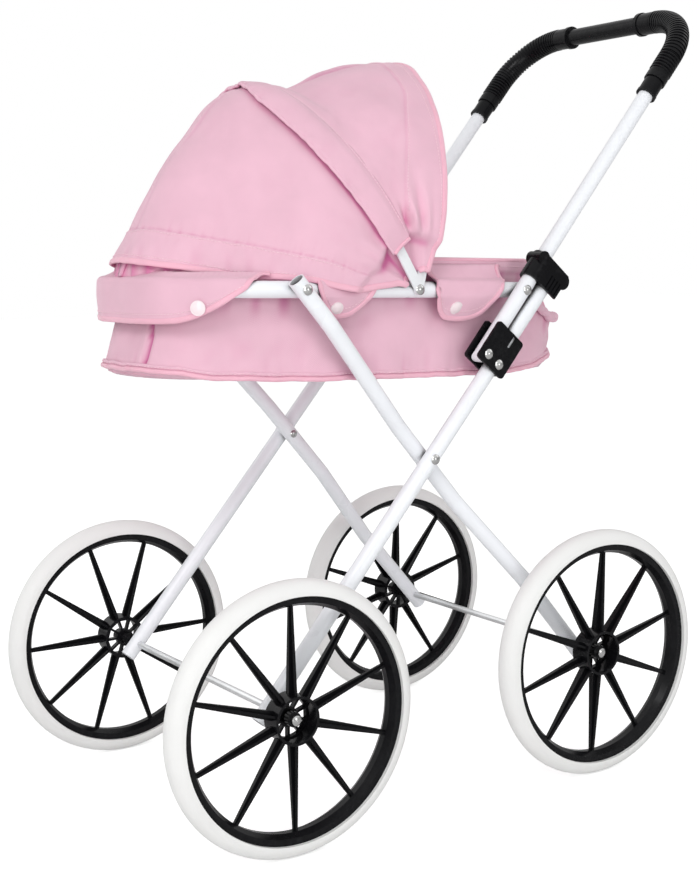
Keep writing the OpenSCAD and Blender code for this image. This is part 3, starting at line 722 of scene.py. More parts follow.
class NookShade(Effect):
    """Mask of corners and hollows that little light reaches, for painted shade."""

    inputs = {"Reach": 0.03, "Open": 0.9, "Gain": 1.4}

    def build(self, kit: NodeKit, *given: Socket) -> Sequence[Socket]:
        """How far the open share of the surroundings falls below Open.

        Args:
            kit: builds the group's nodes.
            given: the group's inputs in order.

        Returns:
            Its outputs in order.
        """
        vector, reach, open_share, gain = given
        seen = kit.add("ShaderNodeAmbientOcclusion", samples=6, Distance=reach).outputs["AO"]
        mask = kit.times(kit.minus(open_share, seen), gain, True)
        soft = kit.plus(0.75, kit.times(kit.noise(vector, 40.0, 1.0), 0.5))
        return (kit.times(mask, soft, True),)


WEAVE, MOTTLE, WEAR, SCUFFS = Weave(), Mottle(), EdgeWear(), Scuffs()
GRAIN, DUST, NOOK_SHADE = Grain(), DustFilm(), NookShade()


# ---------------------------------------------------------------- finishes


def new_material(name: str, **values: object) -> tuple[bpy.types.Material, NodeKit]:
    """Makes a material with a Principled BSDF.

    Args:
        name: its name.
        values: inputs of its shader, with underscores for spaces.

    Returns:
        The material and a kit for its nodes.
    """
    made = bpy.data.materials.new(name)
    made.use_nodes = True
    kit = NodeKit(made.node_tree)
    set_shader(made, kit, values)
    return made, kit


def set_shader(made: bpy.types.Material, kit: NodeKit, values: dict[str, object]) -> None:
    """Sets or links inputs of a material's Principled BSDF."""
    for key, value in values.items():
        kit.put(made.node_tree.nodes["Principled BSDF"].inputs[key.replace("_", " ")], value)


@dataclass(frozen=True)
class Finish:
    """A material with a base colour; each kind of finish adds its own detail."""

    name: str
    colour: Colour
    roughness: float = 0.5

    def material(self) -> bpy.types.Material:
        """Builds the material at its first use.

        Returns:
            The material.
        """
        found = bpy.data.materials.get(self.name)
        if found:
            return found
        made, kit = new_material(self.name)
        made.diffuse_color = (*self.colour, 1.0)
        where = kit.add("ShaderNodeTexCoord").outputs["Object"]
        set_shader(made, kit, self.dress(kit, where))
        return made

    def rgba(self, share: float = 1.0) -> tuple[float, float, float, float]:
        """The colour times share."""
        return (*(min(1.0, c * share) for c in self.colour), 1.0)

    def rough(self, kit: NodeKit, noise: Socket, swing: float, mask: Socket | None = None,
              more: float = 0.0) -> Socket:
        """Roughness that swings with a noise, and is more where a mask is 1."""
        value = kit.plus(kit.times(noise, swing), self.roughness - swing / 2)
        return value if mask is None else kit.plus(value, kit.times(mask, more))

    def dress(self, kit: NodeKit, where: Socket) -> dict[str, object]:
        """The shader's inputs; where is a position in metres, fixed to the piece."""
        raise NotImplementedError


@dataclass(frozen=True)
class ClothFinish(Finish):
    """Woven polyester: threads, slubs, soft creases, a light sheen, and painted shade in folds
    and corners.
    """

    pitch: float = 0.0009
    crease: float = 0.5
    sheen: float = 0.25
    # Deep pink of the painted shade in folds and corners.
    deep: Colour = (0.56, 0.06, 0.27)

    def dress(self, kit: NodeKit, where: Socket) -> dict[str, object]:
        """Weave on the cloth's own lay, with darker thread gaps, and painted shade in folds and
        corners.

        Args:
            kit: builds the material's nodes.
            where: position in metres, fixed to the piece.

        Returns:
            The shader's inputs.
        """
        weave = WEAVE.place(kit, where.node.outputs["UV"], Pitch=self.pitch, Slub=0.25)
        shade = MOTTLE.place(kit, where, Scale=26.0)
        nook_shade = NOOK_SHADE.place(kit, where, Reach=0.024, Open=0.62, Gain=1.8)
        fold = kit.add("ShaderNodeAttribute", attribute_name="fold").outputs["Fac"]
        tone = kit.mix(shade["Mask"], self.rgba(0.955), self.rgba(1.035))
        # Painted shade: corners that little light reaches and each point's painted shade turn the
        # pink deeper.
        for mask, share, colour in ((weave["Gap"], 0.24, self.rgba(0.8)),
                                    (nook_shade["Mask"], 0.55, (*self.deep, 1.0)),
                                    (fold, 0.8, (*self.deep, 1.0))):
            tone = kit.mix(kit.times(mask, share), tone, colour)
        height = kit.plus(kit.times(kit.noise(where, 62.0, 2.0, 0.45), self.crease),
                          kit.times(weave["Height"], 0.10))
        return {"Base Color": tone, "Normal": kit.bump(height, 0.6, 0.0016),
                "Roughness": self.rough(kit, shade["Fine"], 0.14),
                "Sheen Weight": self.sheen, "Sheen Roughness": 0.45,
                "Specular IOR Level": 0.25}


@dataclass(frozen=True)
class ThreadFinish(Finish):
    """Twisted sewing thread."""

    def dress(self, kit: NodeKit, where: Socket) -> dict[str, object]:
        """Fine twist as bump and shade.

        Args:
            kit: builds the material's nodes.
            where: position in metres, fixed to the piece.

        Returns:
            The shader's inputs.
        """
        twist = GRAIN.place(kit, where, Scale=1800.0)["Height"]
        return {"Base Color": kit.mix(twist, self.rgba(0.8), self.rgba(1.1)),
                "Roughness": self.roughness, "Normal": kit.bump(twist, 0.4, 0.0003),
                "Sheen Weight": 0.2}


@dataclass(frozen=True)
class PowderCoatFinish(Finish):
    """White powder coat with a faint orange peel, dust, and painted shade in bores and tight
    corners.
    """

    # Near black of the painted shade in bores and tight corners.
    bore_shade: Colour = (0.05, 0.045, 0.045)
    dust: Colour = (0.66, 0.64, 0.61)

    def dress(self, kit: NodeKit, where: Socket) -> dict[str, object]:
        """Mixes dust over the coat, paints shade into the bores and tight corners, and bumps it
        with the grain.

        Args:
            kit: builds the material's nodes.
            where: position in metres, fixed to the piece.

        Returns:
            The shader's inputs.
        """
        shade = MOTTLE.place(kit, where, Scale=9.0)["Mask"]
        dust = DUST.place(kit, where, Amount=0.05)["Mask"]
        # Painted shade: corners that little light reaches, darkest inside the bores.
        bore_shade = NOOK_SHADE.place(kit, where, Reach=0.03, Open=0.55, Gain=3.2)["Mask"]
        scuff = SCUFFS.place(kit, where, Amount=0.12)
        peel = GRAIN.place(kit, where, Scale=330.0)["Height"]
        coat = kit.mix(shade, self.rgba(0.975), self.rgba(1.01))
        coat = kit.mix(dust, coat, (*self.dust, 1.0))
        return {"Base Color": kit.mix(bore_shade, coat, (*self.bore_shade, 1.0)),
                "Roughness": self.rough(kit, scuff["Dull"], 0.16, scuff["Mask"], 0.2),
                "Normal": kit.bump(peel, 0.015, 0.0002),
                "Coat Weight": 0.12, "Coat Roughness": 0.2}


@dataclass(frozen=True)
class MouldedFinish(Finish):
    """Moulded plastic with a fine grain, dull patches and scratches."""

    grain: float = 0.25
    grain_scale: float = 1500.0
    worn: Colour = (0.05, 0.05, 0.052)
    specular: float = 0.13

    def dress(self, kit: NodeKit, where: Socket) -> dict[str, object]:
        """Scratches and rubbed edges are lighter, and gloss changes softly.

        Args:
            kit: builds the material's nodes.
            where: position in metres, fixed to the piece.

        Returns:
            The shader's inputs.
        """
        scuff = SCUFFS.place(kit, where, Amount=0.14)
        rubbed = WEAR.place(kit, where, Amount=0.15)["Mask"]
        shade = MOTTLE.place(kit, where, Scale=18.0)["Mask"]
        grain = GRAIN.place(kit, where, Scale=self.grain_scale)["Height"]
        tone = kit.mix(shade, self.rgba(0.9), self.rgba(1.08))
        for mask in (scuff["Mask"], rubbed):
            tone = kit.mix(mask, tone, (*self.worn, 1.0))
        return {"Base Color": tone, "Normal": kit.bump(grain, self.grain, 0.0003),
                "Roughness": self.rough(kit, scuff["Dull"], 0.2, scuff["Mask"], 0.3),
                "Specular IOR Level": self.specular}


@dataclass(frozen=True)
class FoamFinish(Finish):
    """Closed-cell foam tyre: soft skin with tiny pores and faint grey specks."""

    pore_grey: Colour = (0.72, 0.71, 0.69)

    def dress(self, kit: NodeKit, where: Socket) -> dict[str, object]:
        """Pores as bump and as grey specks in the pits.

        Args:
            kit: builds the material's nodes.
            where: position in metres, fixed to the piece.

        Returns:
            The shader's inputs.
        """
        shade = MOTTLE.place(kit, where, Scale=14.0)
        pores = kit.add("ShaderNodeTexVoronoi", Scale=900.0, Vector=where)
        pit = kit.minus(1.0, kit.times(pores.outputs["Distance"], 2.2, True))
        speck = kit.times(kit.math("POWER", pit, 3.0), kit.times(shade["Fine"], 0.35))
        grain = GRAIN.place(kit, where, Scale=420.0)["Height"]
        skin = kit.mix(shade["Mask"], self.rgba(0.965), self.rgba(1.01))
        return {"Base Color": kit.mix(speck, skin, (*self.pore_grey, 1.0)),
                "Roughness": self.rough(kit, shade["Fine"], 0.2),
                "Normal": kit.bump(kit.minus(grain, kit.times(pit, 0.5)), 0.3, 0.0004),
                "Subsurface Weight": 0.08, "Subsurface Radius": (0.004, 0.004, 0.004)}


@dataclass(frozen=True)
class NickelFinish(Finish):
    """Nickel-plated steel, lightly tumbled."""

    def dress(self, kit: NodeKit, where: Socket) -> dict[str, object]:
        """Metal with fine scratches and soft stains.

        Args:
            kit: builds the material's nodes.
            where: position in metres, fixed to the piece.

        Returns:
            The shader's inputs.
        """
        scuff = SCUFFS.place(kit, where, Amount=0.25)["Mask"]
        shade = MOTTLE.place(kit, where, Scale=60.0)
        grain = GRAIN.place(kit, where, Scale=500.0)["Height"]
        return {"Base Color": kit.mix(shade["Mask"], self.rgba(0.93), self.rgba(1.03)),
                "Roughness": self.rough(kit, shade["Fine"], 0.12, scuff, 0.25),
                "Metallic": 1.0, "Normal": kit.bump(grain, 0.02, 0.0003)}


PINK = ClothFinish("pink_polyester", (0.80, 0.49, 0.597), 0.82)
PINK_INSIDE = ClothFinish("pink_lining", (0.80, 0.475, 0.58), 0.86, crease=0.7)
BINDING = ClothFinish("pink_binding", (0.86, 0.47, 0.58), 0.6, pitch=0.0007, crease=0.2,
                      sheen=0.35)
THREAD = ThreadFinish("pink_thread", (0.90, 0.62, 0.70), 0.6)
WHITE_COAT = PowderCoatFinish("white_powder_coat", (0.87, 0.89, 0.925), 0.3)
STAY_WHITE = MouldedFinish("white_bow_plastic", (0.85, 0.875, 0.90), 0.38, grain=0.05,
                           worn=(0.7, 0.7, 0.71), specular=0.5)
WHEEL_BLACK = MouldedFinish("wheel_black", (0.005, 0.005, 0.006), 0.22, grain=0.03)
FITTING_BLACK = MouldedFinish("fitting_black", (0.004, 0.004, 0.005), 0.2, grain=0.03)
GRIP_BLACK = MouldedFinish("grip_black", (0.005, 0.005, 0.006), 0.24, grain=0.08,
                           grain_scale=900.0)
FOAM_WHITE = FoamFinish("foam_tyre", (0.83, 0.83, 0.82), 0.62)
NICKEL = NickelFinish("nickel", (0.50, 0.50, 0.495), 0.2)
ZINC = NickelFinish("zinc_rod", (0.74, 0.75, 0.76), 0.3)
SNAP_PINK = MouldedFinish("snap_plastic", (0.90, 0.77, 0.80), 0.28, grain=0.06,
                          worn=(0.86, 0.76, 0.78), specular=0.5)
SHOWN: tuple[tuple[tuple[str, ...], Finish], ...] = (
    (("leg_", "rail_left", "rail_right", "front_hoop", "handle_tube"), WHITE_COAT),
    (("tyre_",), FOAM_WHITE),
    (("wheel_", "axle_spacers"), WHEEL_BLACK),
    (("axle_caps",), NICKEL),
    (("elbow_sleeve", "sleeve_rings", "grip_bar"), GRIP_BLACK),
    (("fold_bracket", "lock_clip", "collar"), FITTING_BLACK),
    (("hood_bow",), STAY_WHITE),
    (("flap_snaps",), SNAP_PINK),
    (("base_board",), PINK_INSIDE),
    (("axle_front", "axle_rear"), ZINC),
)


def finish_of(node: str) -> Finish:
    """The finish of a frame node that stays in view."""
    return next((finish for starts, finish in SHOWN if node.startswith(starts)), NICKEL)


# ---------------------------------------------------------------- places


@dataclass(frozen=True)
class HingePlace:
    """Coordinates about the hood's hinge: x, y and z in millimetres."""

    y: float
    z: float
    slope: float = 0.0

    def __call__(self, p: Array) -> Array:
        """Places points in the frame, tipped by the slope.

        Args:
            p: points in hinge millimetres.

        Returns:
            The points in row-frame metres.
        """
        x, y, z = np.moveaxis(np.asarray(p, float), -1, 0)
        c, s = math.cos(self.slope), math.sin(self.slope)
        return np.stack([x * MM, self.y + (c * y + s * z) * MM,
                         self.z + (c * z - s * y) * MM], axis=-1)


@dataclass
class Sewn:
    """A sub-assembly of cloth pieces that keeps a list of what it has made."""

    place: HingePlace
    made: list[Object] = field(default_factory=list)

    def keep(self, obj: Object, finish: Finish, body: str | None = "carrycot",
             slot: Slot = Slot.FABRIC) -> Object:
        """Gives a new piece its finish and body, and lists it.

        Args:
            obj: the piece.
            finish: its finish.
            body: the body it rides, or None to leave it unattached.
            slot: its material slot; not used.

        Returns:
            The piece.
        """
        obj.data.materials.append(finish.material())
        if body:
            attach(obj, body)
        self.made.append(obj)
        LOG.info("%s: %d faces", obj.name, len(obj.data.polygons))
        return obj

    def cord(self, name: str, line: Line, size: tuple[float, float],
             finish: Finish = BINDING, body: str | None = "carrycot",
             **section: float) -> Object:
        """Keeps a cord along a line of points and normals; size is its width and height."""
        return self.keep(cord_mesh(name, *line, *size, self.place, **section), finish, body)

    def bind(self, name: str, line: Line, size: tuple[float, float], top: int,
             body: str | None = "carrycot") -> Object:
        """Binds the border of a grid of points and normals from row top."""
        edge, face = (border(grid, top) for grid in line)
        return self.cord(name, (edge - face * 0.5, face), size, body=body)

    def stitch(self, name: str, lines: list[Line], body: str | None = "carrycot") -> Object:
        """Keeps rows of stitches along lines of points and normals."""
        return self.keep(stitch_mesh(name, lines, self.place), THREAD, body)


# ---------------------------------------------------------------- hood


@dataclass(frozen=True)
class HoodShape:
    """The fan of the hood: how far the cloth reaches from the hinge at each lean."""

    crown_radius: float = 68.0
    bow_leg: float = 34.0
    leans: tuple[float, ...] = (-18, -8, 5, 18, 27, 31, 38, 50, 62, 74, 84, 90)
    reach: tuple[float, ...] = (211, 202, 191, 183.5, 198, 203.5, 204.5, 200, 201, 208, 223, 230)
    width_leans: tuple[float, ...] = (-18, -8, 18, 31, 50, 90)
    width: tuple[float, ...] = (127.7, 127.0, 123.0, 122.3, 122.2, 123.0)
    foot_leans: tuple[float, ...] = (-24, -8, 2, 12, 22, 44, 54, 66, 90)
    foot_width: tuple[float, ...] = (121.2, 121, 117.6, 113.4, 112.9, 112.9, 113.8, 117.4, 117.8)
    tuck_leans: tuple[float, ...] = (-24, 0, 14, 42, 56, 66, 76, 90)
    tuck_from: tuple[float, ...] = (34, 38, 41, 41, 40, 41, 47, 58)
    tuck_run: float = 11.0

    def edge(self, lean: Array, away: Array | float) -> tuple[Array, Array, Array, Array]:
        """Sizes of the arch at a lean.

        Args:
            lean: degrees forward of upright.
            away: millimetres further from the hinge.

        Returns:
            Half width, height, side radius and side turn.
        """
        a = curve(lean, self.width_leans, self.width)
        h = curve(lean, self.leans, self.reach) + away
        rise = h - self.bow_leg - self.crown_radius
        r = (a * a - self.crown_radius**2 + rise**2) / (2 * (a - self.crown_radius))
        return a, h, r, np.arctan2(rise, r - a)

    def half_length(self, lean: Array) -> Array:
        """Length of the arch from the hinge line to the crown."""
        _, _, r, turn = self.edge(lean, 0.0)
        return self.bow_leg + r * turn + self.crown_radius * (np.pi / 2 - turn)

    def past_tuck(self, lean: Array, along: Array) -> Array:
        """How far up the arch a point lies from where the cloth steps in."""
        return along - curve(lean, self.tuck_leans, self.tuck_from)

    def at(self, lean: Array, along: Array, side: Array, away: Array | float = 0.0,
           tucked: bool = True) -> Array:
        """Points on the fan.

        Args:
            lean: degrees forward of upright.
            along: millimetres along the arch from the hinge line.
            side: 1 on the left half, -1 on the right.
            away: millimetres further from the hinge.
            tucked: True for cloth that passes inside the middle stay by the hinge.

        Returns:
            Points in hinge millimetres.
        """
        lean = np.asarray(lean, float)
        leg, crown = self.bow_leg, self.crown_radius
        a, h, r, turn = self.edge(lean, away)
        u1 = (along - leg) / r
        u2 = turn + (along - leg - r * turn) / crown
        low, mid = along < leg, along < leg + r * turn
        x = np.where(low, a, np.where(mid, a - r + r * np.cos(u1), crown * np.cos(u2)))
        s = np.where(low, along, np.where(mid, leg + r * np.sin(u1),
                                          h - crown + crown * np.sin(u2)))
        if tucked:
            deep = np.maximum(a - curve(lean, self.foot_leans, self.foot_width), 0.0)
            x = x - deep * (1 - smooth(self.past_tuck(lean, along) / self.tuck_run))
        q = np.radians(lean)
        return np.stack([x * side, -s * np.sin(q), s * np.cos(q)], axis=-1)


@dataclass
class Hood(Sewn):
    """Fan hood of two panels, sewn to a flat bow in the middle and one behind."""

    shape: HoodShape = HoodShape()
    cols: int = 241
    cloth: float = 1.1
    gather_from: float = 32.0
    gather_to: float = -5.0
    still_lean: float = 27.0
    bow_lean: float = -14.0

    def faced(self, points: Array, thickness: float) -> Sheet:
        """A sheet that faces away from the hinge."""
        mid = tuple(n // 2 for n in points.shape[:2])
        return Sheet(points, thickness).turn(*mid, points[mid])

    def strip(self, lean: Callable[[Array, Array], Array], foot: Callable[[Array], Array],
              rows: int, thickness: float, tucked: bool = True
              ) -> tuple[Sheet, Array, Array, Array]:
        """A sheet between two fan lines.

        Args:
            lean: gives each row's lean, from row share 0 to 1 and arch length in mm.
            foot: gives the arch length at which the cloth ends, from the lean.
            rows: how many rows.
            thickness: thickness of the cloth.
            tucked: True for cloth that passes inside the middle stay by the hinge.

        Returns:
            The sheet, its leans and arch lengths, and these negative on the right half.
        """
        v = np.linspace(0, 1, rows)[:, None] * np.ones((1, self.cols))
        u = np.linspace(-1, 1, self.cols)[None, :] * np.ones((rows, 1))
        away = 1 - np.abs(u)
        first_guess, rounds = 150.0, 3
        along = away * first_guess
        q = lean(v, along)
        for _ in range(rounds):
            low = foot(q)
            along = low + (self.shape.half_length(q) - low) * away
            q = lean(v, along)
        pts = self.shape.at(q, along, np.where(u < 0, 1.0, -1.0), tucked=tucked)
        left = np.arange(self.cols) < self.cols // 2
        return self.faced(pts, thickness), q, along, along * np.where(left, 1, -1)

    def foot(self, q: Array) -> Array:
        """Arch length of the cloth's lower edge at a lean."""
        return curve(q, (-24, -14, -5, 5, 15, 40, 90), (17, 18, 17.5, 15.5, 14, 14, 14))

    def hem_lean(self, along: Array) -> Array:
        """Lean of the front hem along the arch; it hangs over the rail by the hinge."""
        return curve(along, (0, 14, 34, 62, 84, 106, 128, 160, 204, 300),
                     (71, 71, 82, 88, 86, 83.8, 83.8, 84.6, 83.4, 82.2))

    def channel_front(self, along: Array) -> Array:
        """Lean of the bow channel's loose front edge along the arch."""
        return curve(along, (0, 40, 50, 78, 114, 170, 215, 250, 300),
                     (44, 43.5, 43.0, 39.5, 37.4, 35.4, 34.0, 31.0, 28.8))

    def fold_lines(self, q: Array, along: Array, seed: int) -> Array:
        """Folds that run out from the hinge and die away up the panel."""
        return Crumple(seed, 11.0, 6).along(q) * ramp(along, 120, 42) * ramp(along, 24, 46)

    def seam_line(self, sheet: Sheet, off: Array, along: Array, beyond: float) -> Line:
        """Reads a seam off a sheet and evens it.

        Args:
            sheet: the cloth.
            off: distance of each grid point from the seam.
            along: arch length of each grid point.
            beyond: arch length from which the line runs.

        Returns:
            The line's points and normals.
        """
        rows, cols = np.abs(off).argmin(0), np.arange(self.cols)
        used = along[rows, cols] > beyond
        line, out = (grid[rows, cols][used] for grid in (sheet.points, sheet.normals()))
        line[1:-1] = (line[:-2] + line[1:-1] * 2 + line[2:]) / 4
        return line, out

    def follow_bow(self, obj: Object, front: float, back: float) -> None:
        """Bakes the piece's transform into its mesh; the points at the two leans are found but
        not used.

        Args:
            obj: the piece.
            front: lean at which it stays with the carrycot.
            back: lean at which it moves with the bow.
        """
        ends = [tuple(self.place(self.shape.at(np.array([lean]), np.array([90.0]), 0.0))[0])
                for lean in (front, back)]
        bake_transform(obj)

    def build(self) -> None:
        """Sews the panels, the bow channel, the bindings and the gathers."""
        self.front_panel()
        self.bow_channel()
        self.rear_panel()
        self.hem_gathers()

    def front_panel(self) -> None:
        """Panel from the middle bow down to the nose, with its sewn lower band."""
        start, top = 27.0, 40
        sheet, q, along, s = self.strip(
            lambda v, along: start + (self.hem_lean(along) - start) * v ** 0.9,
            self.foot, 121, self.cloth)
        seam = curve(along, (0, 60, 90, 142, 190, 300), (79, 76, 73.5, 74.5, 75, 75.2))
        off = (q - seam) * np.radians(1) * np.clip(along, 30, 210)
        h = 0.7 * ramp(off, 0.0, 1.2) - 0.35 * ridge(off, -0.8, 1.0)
        h += 0.25 * Crumple(11, 7.0).along(s) * np.exp(-np.abs(off) / 5.0) * ramp(along, 50, 80)
        h += 0.5 * Crumple(12, 26.0).along(s) * ramp(off, 2, 24)
        h += 1.0 * Crumple(13, 80.0).at(s, q * 2.6) * ramp(q, 30, 44) * ramp(q, 84, 74)
        h += 3.6 * ridge(q, 64.0, 14.0) * ramp(along, 130, 215)
        h += 0.12 * Crumple(14, 24.0).at(s, q * 2.6) * ramp(q, 34, 50)
        h += 1.0 * self.fold_lines(q, along, 15)
        ahead = (q - self.channel_front(along)) * np.radians(1) * along
        h -= 2.4 * ridge(ahead, 1.0, 7.0) * ramp(along, 46, 70)
        h *= 1 - 0.8 * ramp(along, 60, 44)
        pocket = self.shape.past_tuck(q, along)
        # Painted shade: a dark line along the channel's front edge and in the pocket where the
        # cloth steps in.
        sheet.shade = (0.75 * ridge(ahead, 0.8, 2.2) * ramp(along, 235, 90)
                       + 0.95 * ridge(pocket, 0.5, 4.0) * ramp(q, 42, 48) * ramp(q, 76, 60)
                       + 0.35 * ridge(pocket, -5.0, 6.0) * ramp(q, 42, 48) * ramp(q, 66, 52))
        sheet.raise_by(h)
        cloth = self.keep(sheet.build("hood_front_cloth", self.place), PINK, None)
        self.follow_bow(cloth, self.gather_from, self.gather_to)
        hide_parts("hood_panel_front")
        p, n = sheet.points, sheet.normals()
        bind = self.bind("hood_front_binding", (p, n), (5.4, 3.0), top)
        seam_at = self.seam_line(sheet, off - 2.2, along, 78)
        thread = self.stitch("hood_front_stitches", [seam_at, (p[-4, 8:-8], n[-4, 8:-8])])

    def bow_channel(self) -> None:
        """Wide channel over the middle bow; its loose front edge stands off the panel."""
        rows = 29

        def lean(v: Array, along: Array) -> Array:
            """Lean of the channel at width share v and arch length along."""
            back = curve(along, (0, 50, 72, 114, 172, 300), (16, 17, 20.0, 22.3, 23.6, 24.2))
            return back + (self.channel_front(along) - back) * v

        sheet, _, along, s = self.strip(lean, lambda q: curve(q, (16, 44), (45, 41.5)),
                                        rows, 1.3, tucked=False)
        v = np.linspace(0, 1, rows)[:, None] * np.ones((1, self.cols))
        h = 0.3 + (3.5 - 1.5 * ramp(along, 190, 250)) * smooth(v / 0.4) - ramp(v, 0.92, 1.0)
        h += 0.5 * Crumple(21, 30.0).along(s) * v
        h += 0.5 * Crumple(22, 13.0).along(s) * ramp(v, 0.75, 1.0)
        h *= ramp(along, 38, 62) * 0.7 + 0.3
        sheet.raise_by(h)
        cloth = self.keep(sheet.build("hood_bow_channel", self.place), PINK, None)
        p, n = sheet.points, sheet.normals()
        lip = self.cord("hood_channel_fold", (p[-1] - n[-1] * 0.9, n[-1]), (3.2, 2.6), PINK)
        thread = self.stitch("hood_channel_stitches", [(p[2, 4:-4], n[2, 4:-4])], None)
        ends = [self.cord(f"hood_channel_end_{name}", (p[:, col], n[:, col]), (3.0, 2.4),
                          body=None) for name, col in (("left", 0), ("right", -1))]
        for obj in (cloth, thread, *ends):
            self.follow_bow(obj, self.gather_from, self.gather_to)

    def rear_panel(self) -> None:
        """Panel between the bows, from the sewn seam to the rear bow."""
        last, rows, bound = 29.0, 111, 52

        def lean(v: Array, along: Array) -> Array:
            """Lean of the panel from the sewn seam to the rear bow.

            Args:
                v: share of the width, 0 at the seam to 1 at the rear bow.
                along: arch length in millimetres.

            Returns:
                The lean in degrees.
            """
            first = curve(along, (0, 26, 45, 60, 100, 135, 170, 300),
                          (-23, -22, -20, -18.4, -16.7, -16.1, -16.1, -16.3))
            return first + (last - first) * v

        sheet, q, along, s = self.strip(lean, self.foot, rows, self.cloth)
        seam = curve(along, (0, 60, 76, 110, 136, 162, 194, 260),
                     (14, 13, 10.5, 3.0, -1.5, -5.0, -8.5, -9.5))
        off = (seam - q) * np.radians(1) * np.clip(along, 30, 200)
        h = 0.8 * ramp(off, 0.0, 1.2) - 0.12 * ridge(off, -0.8, 1.0)
        h += 2.4 * ridge(q, 24.0, 5.0) * ramp(along, 120, 200)
        h += 1.5 * Crumple(31, 80.0).at(s, q * 3.0) * ramp(off, 0, -14) * ramp(q, 26, 18)
        h += 0.15 * Crumple(32, 22.0).at(s, q * 3.0)
        h += 2.6 * self.fold_lines(q * 1.2, along, 33) * ramp(q, 26, 12) * ramp(q, -14, 0)
        h -= 5.0 * ridge(q, 13.5, 3.0) * ridge(along, 58, 13)
        h += 3.5 * ridge(q, 8.0, 3.2) * ridge(along, 62, 14)
        h *= ramp(q, 27.0, 21.0)
        h *= 1 - 0.85 * ramp(along, 62, 44)
        crease = self.shape.past_tuck(q, along)
        # Painted shade along the crease where the cloth steps in.
        sheet.shade = 0.55 * ridge(crease, 2.0, 3.0) * ramp(q, -14, -4) * ramp(q, 24, 16)
        sheet.raise_by(h)
        cloth = self.keep(sheet.build("hood_rear_cloth", self.place), PINK, None)
        p, n = sheet.points, sheet.normals()
        bind = self.bind("hood_rear_binding", (p[::-1], n[::-1]), (5.0, 3.0), rows - bound,
                         None)
        seam_at = self.seam_line(sheet, off - 2.0, along, 66)
        thread = self.stitch("hood_rear_stitches", [seam_at, (p[6, 6:-6], n[6, 6:-6])], None)
        for obj in (cloth, bind, thread):
            self.follow_bow(obj, self.still_lean, self.bow_lean)
        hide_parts("hood_panel_rear")

    def hem_gathers(self) -> None:
        """Pleated strip that joins the front hem to the top of the nose flap."""
        cols, rows, foot = 361, 9, 112
        u = np.linspace(-1, 1, cols)
        side = np.where(u < 0, 1.0, -1.0)
        crown = float(self.shape.half_length(np.array([85.0]))[0])
        arc = foot + (1 - np.abs(u)) * (crown - foot)
        v = np.linspace(0, 1, rows)[:, None]
        q = self.hem_lean(arc)[None, :] - 0.8 + v * 4.4
        sheet = self.faced(self.shape.at(q, arc[None, :] * np.ones((rows, 1)), side[None, :],
                                         -3.6 - 2.0 * v), 0.8)
        s = arc * side
        pleat = np.abs(np.sin(s / 5.5 + 1.4 * Crumple(41, 60.0).along(s)))[None, :]
        sheet.raise_by(3.0 * pleat * (0.35 + 0.65 * v))
        # Painted shade in the valleys between the pleats.
        sheet.shade = (1 - pleat) ** 0.7 * (1.1 - 0.5 * v)
        cloth = self.keep(sheet.build("hood_hem_gathers", self.place), PINK)


# ---------------------------------------------------------------- carrycot


@dataclass(frozen=True)
class TubShape:
    """Plan and height of the carrycot's tub, about the hood's hinge."""

    middle: float = -6.0
    base_half: float = 104.0
    top_half: float = 99.5
    reach: float = 222.0
    base: float = -73.0
    rim: float = 26.0
    nose_rim: float = 13.0
    drop: float = 50.0
    drop_from: float = 137.3
    drop_run: float = 46.0
    foot_keel: float = 10.0
    nose_keel: float = 5.5
    sag: float = 1.7

    def at(self, t: Array, f: Array, inset: Array | float = 0.0) -> Array:
        """Points on the tub's wall.

        Args:
            t: outline angle.
            f: height share, 0 at the base to 1 at the rim.
            inset: millimetres drawn in.

        Returns:
            Points in hinge millimetres.
        """
        n = 2.7 + 0.5 * f
        a = self.base_half + (self.top_half - self.base_half) * f - inset
        back = self.reach - 3 * f - inset
        front = self.reach - 5 * (1 - f) ** 2 - 26 * f - inset
        c, s = (np.sign(w) * np.abs(w) ** (2 / n) for w in (np.cos(t), np.sin(t)))
        y = self.middle + np.where(s > 0, s * back, s * front)
        top = (self.rim - self.drop * smooth((y - self.drop_from) / self.drop_run)
               - (self.rim - self.nose_rim) * (1 - smooth((y + 129) / 80)))
        keel = (self.foot_keel * smooth((y - 125) / 85)
                + self.nose_keel * smooth((-y - 165) / 55)
                - self.sag * (1 - smooth((np.abs(y) - 90) / 80)))
        z = self.base + (top - self.base) * f + keel * (1 - f) ** 2
        return np.stack([a * c, y, z], axis=-1)

    def even_angles(self, count: int) -> Array:
        """Angles that give even steps round the outline at half height.

        Args:
            count: how many.

        Returns:
            The angles.
        """
        t = np.linspace(-np.pi, np.pi, 4001)
        s = lengths(self.at(t, np.full_like(t, 0.5))[:, :2])
        return np.interp(np.linspace(0, s[-1], count, endpoint=False), s, t)


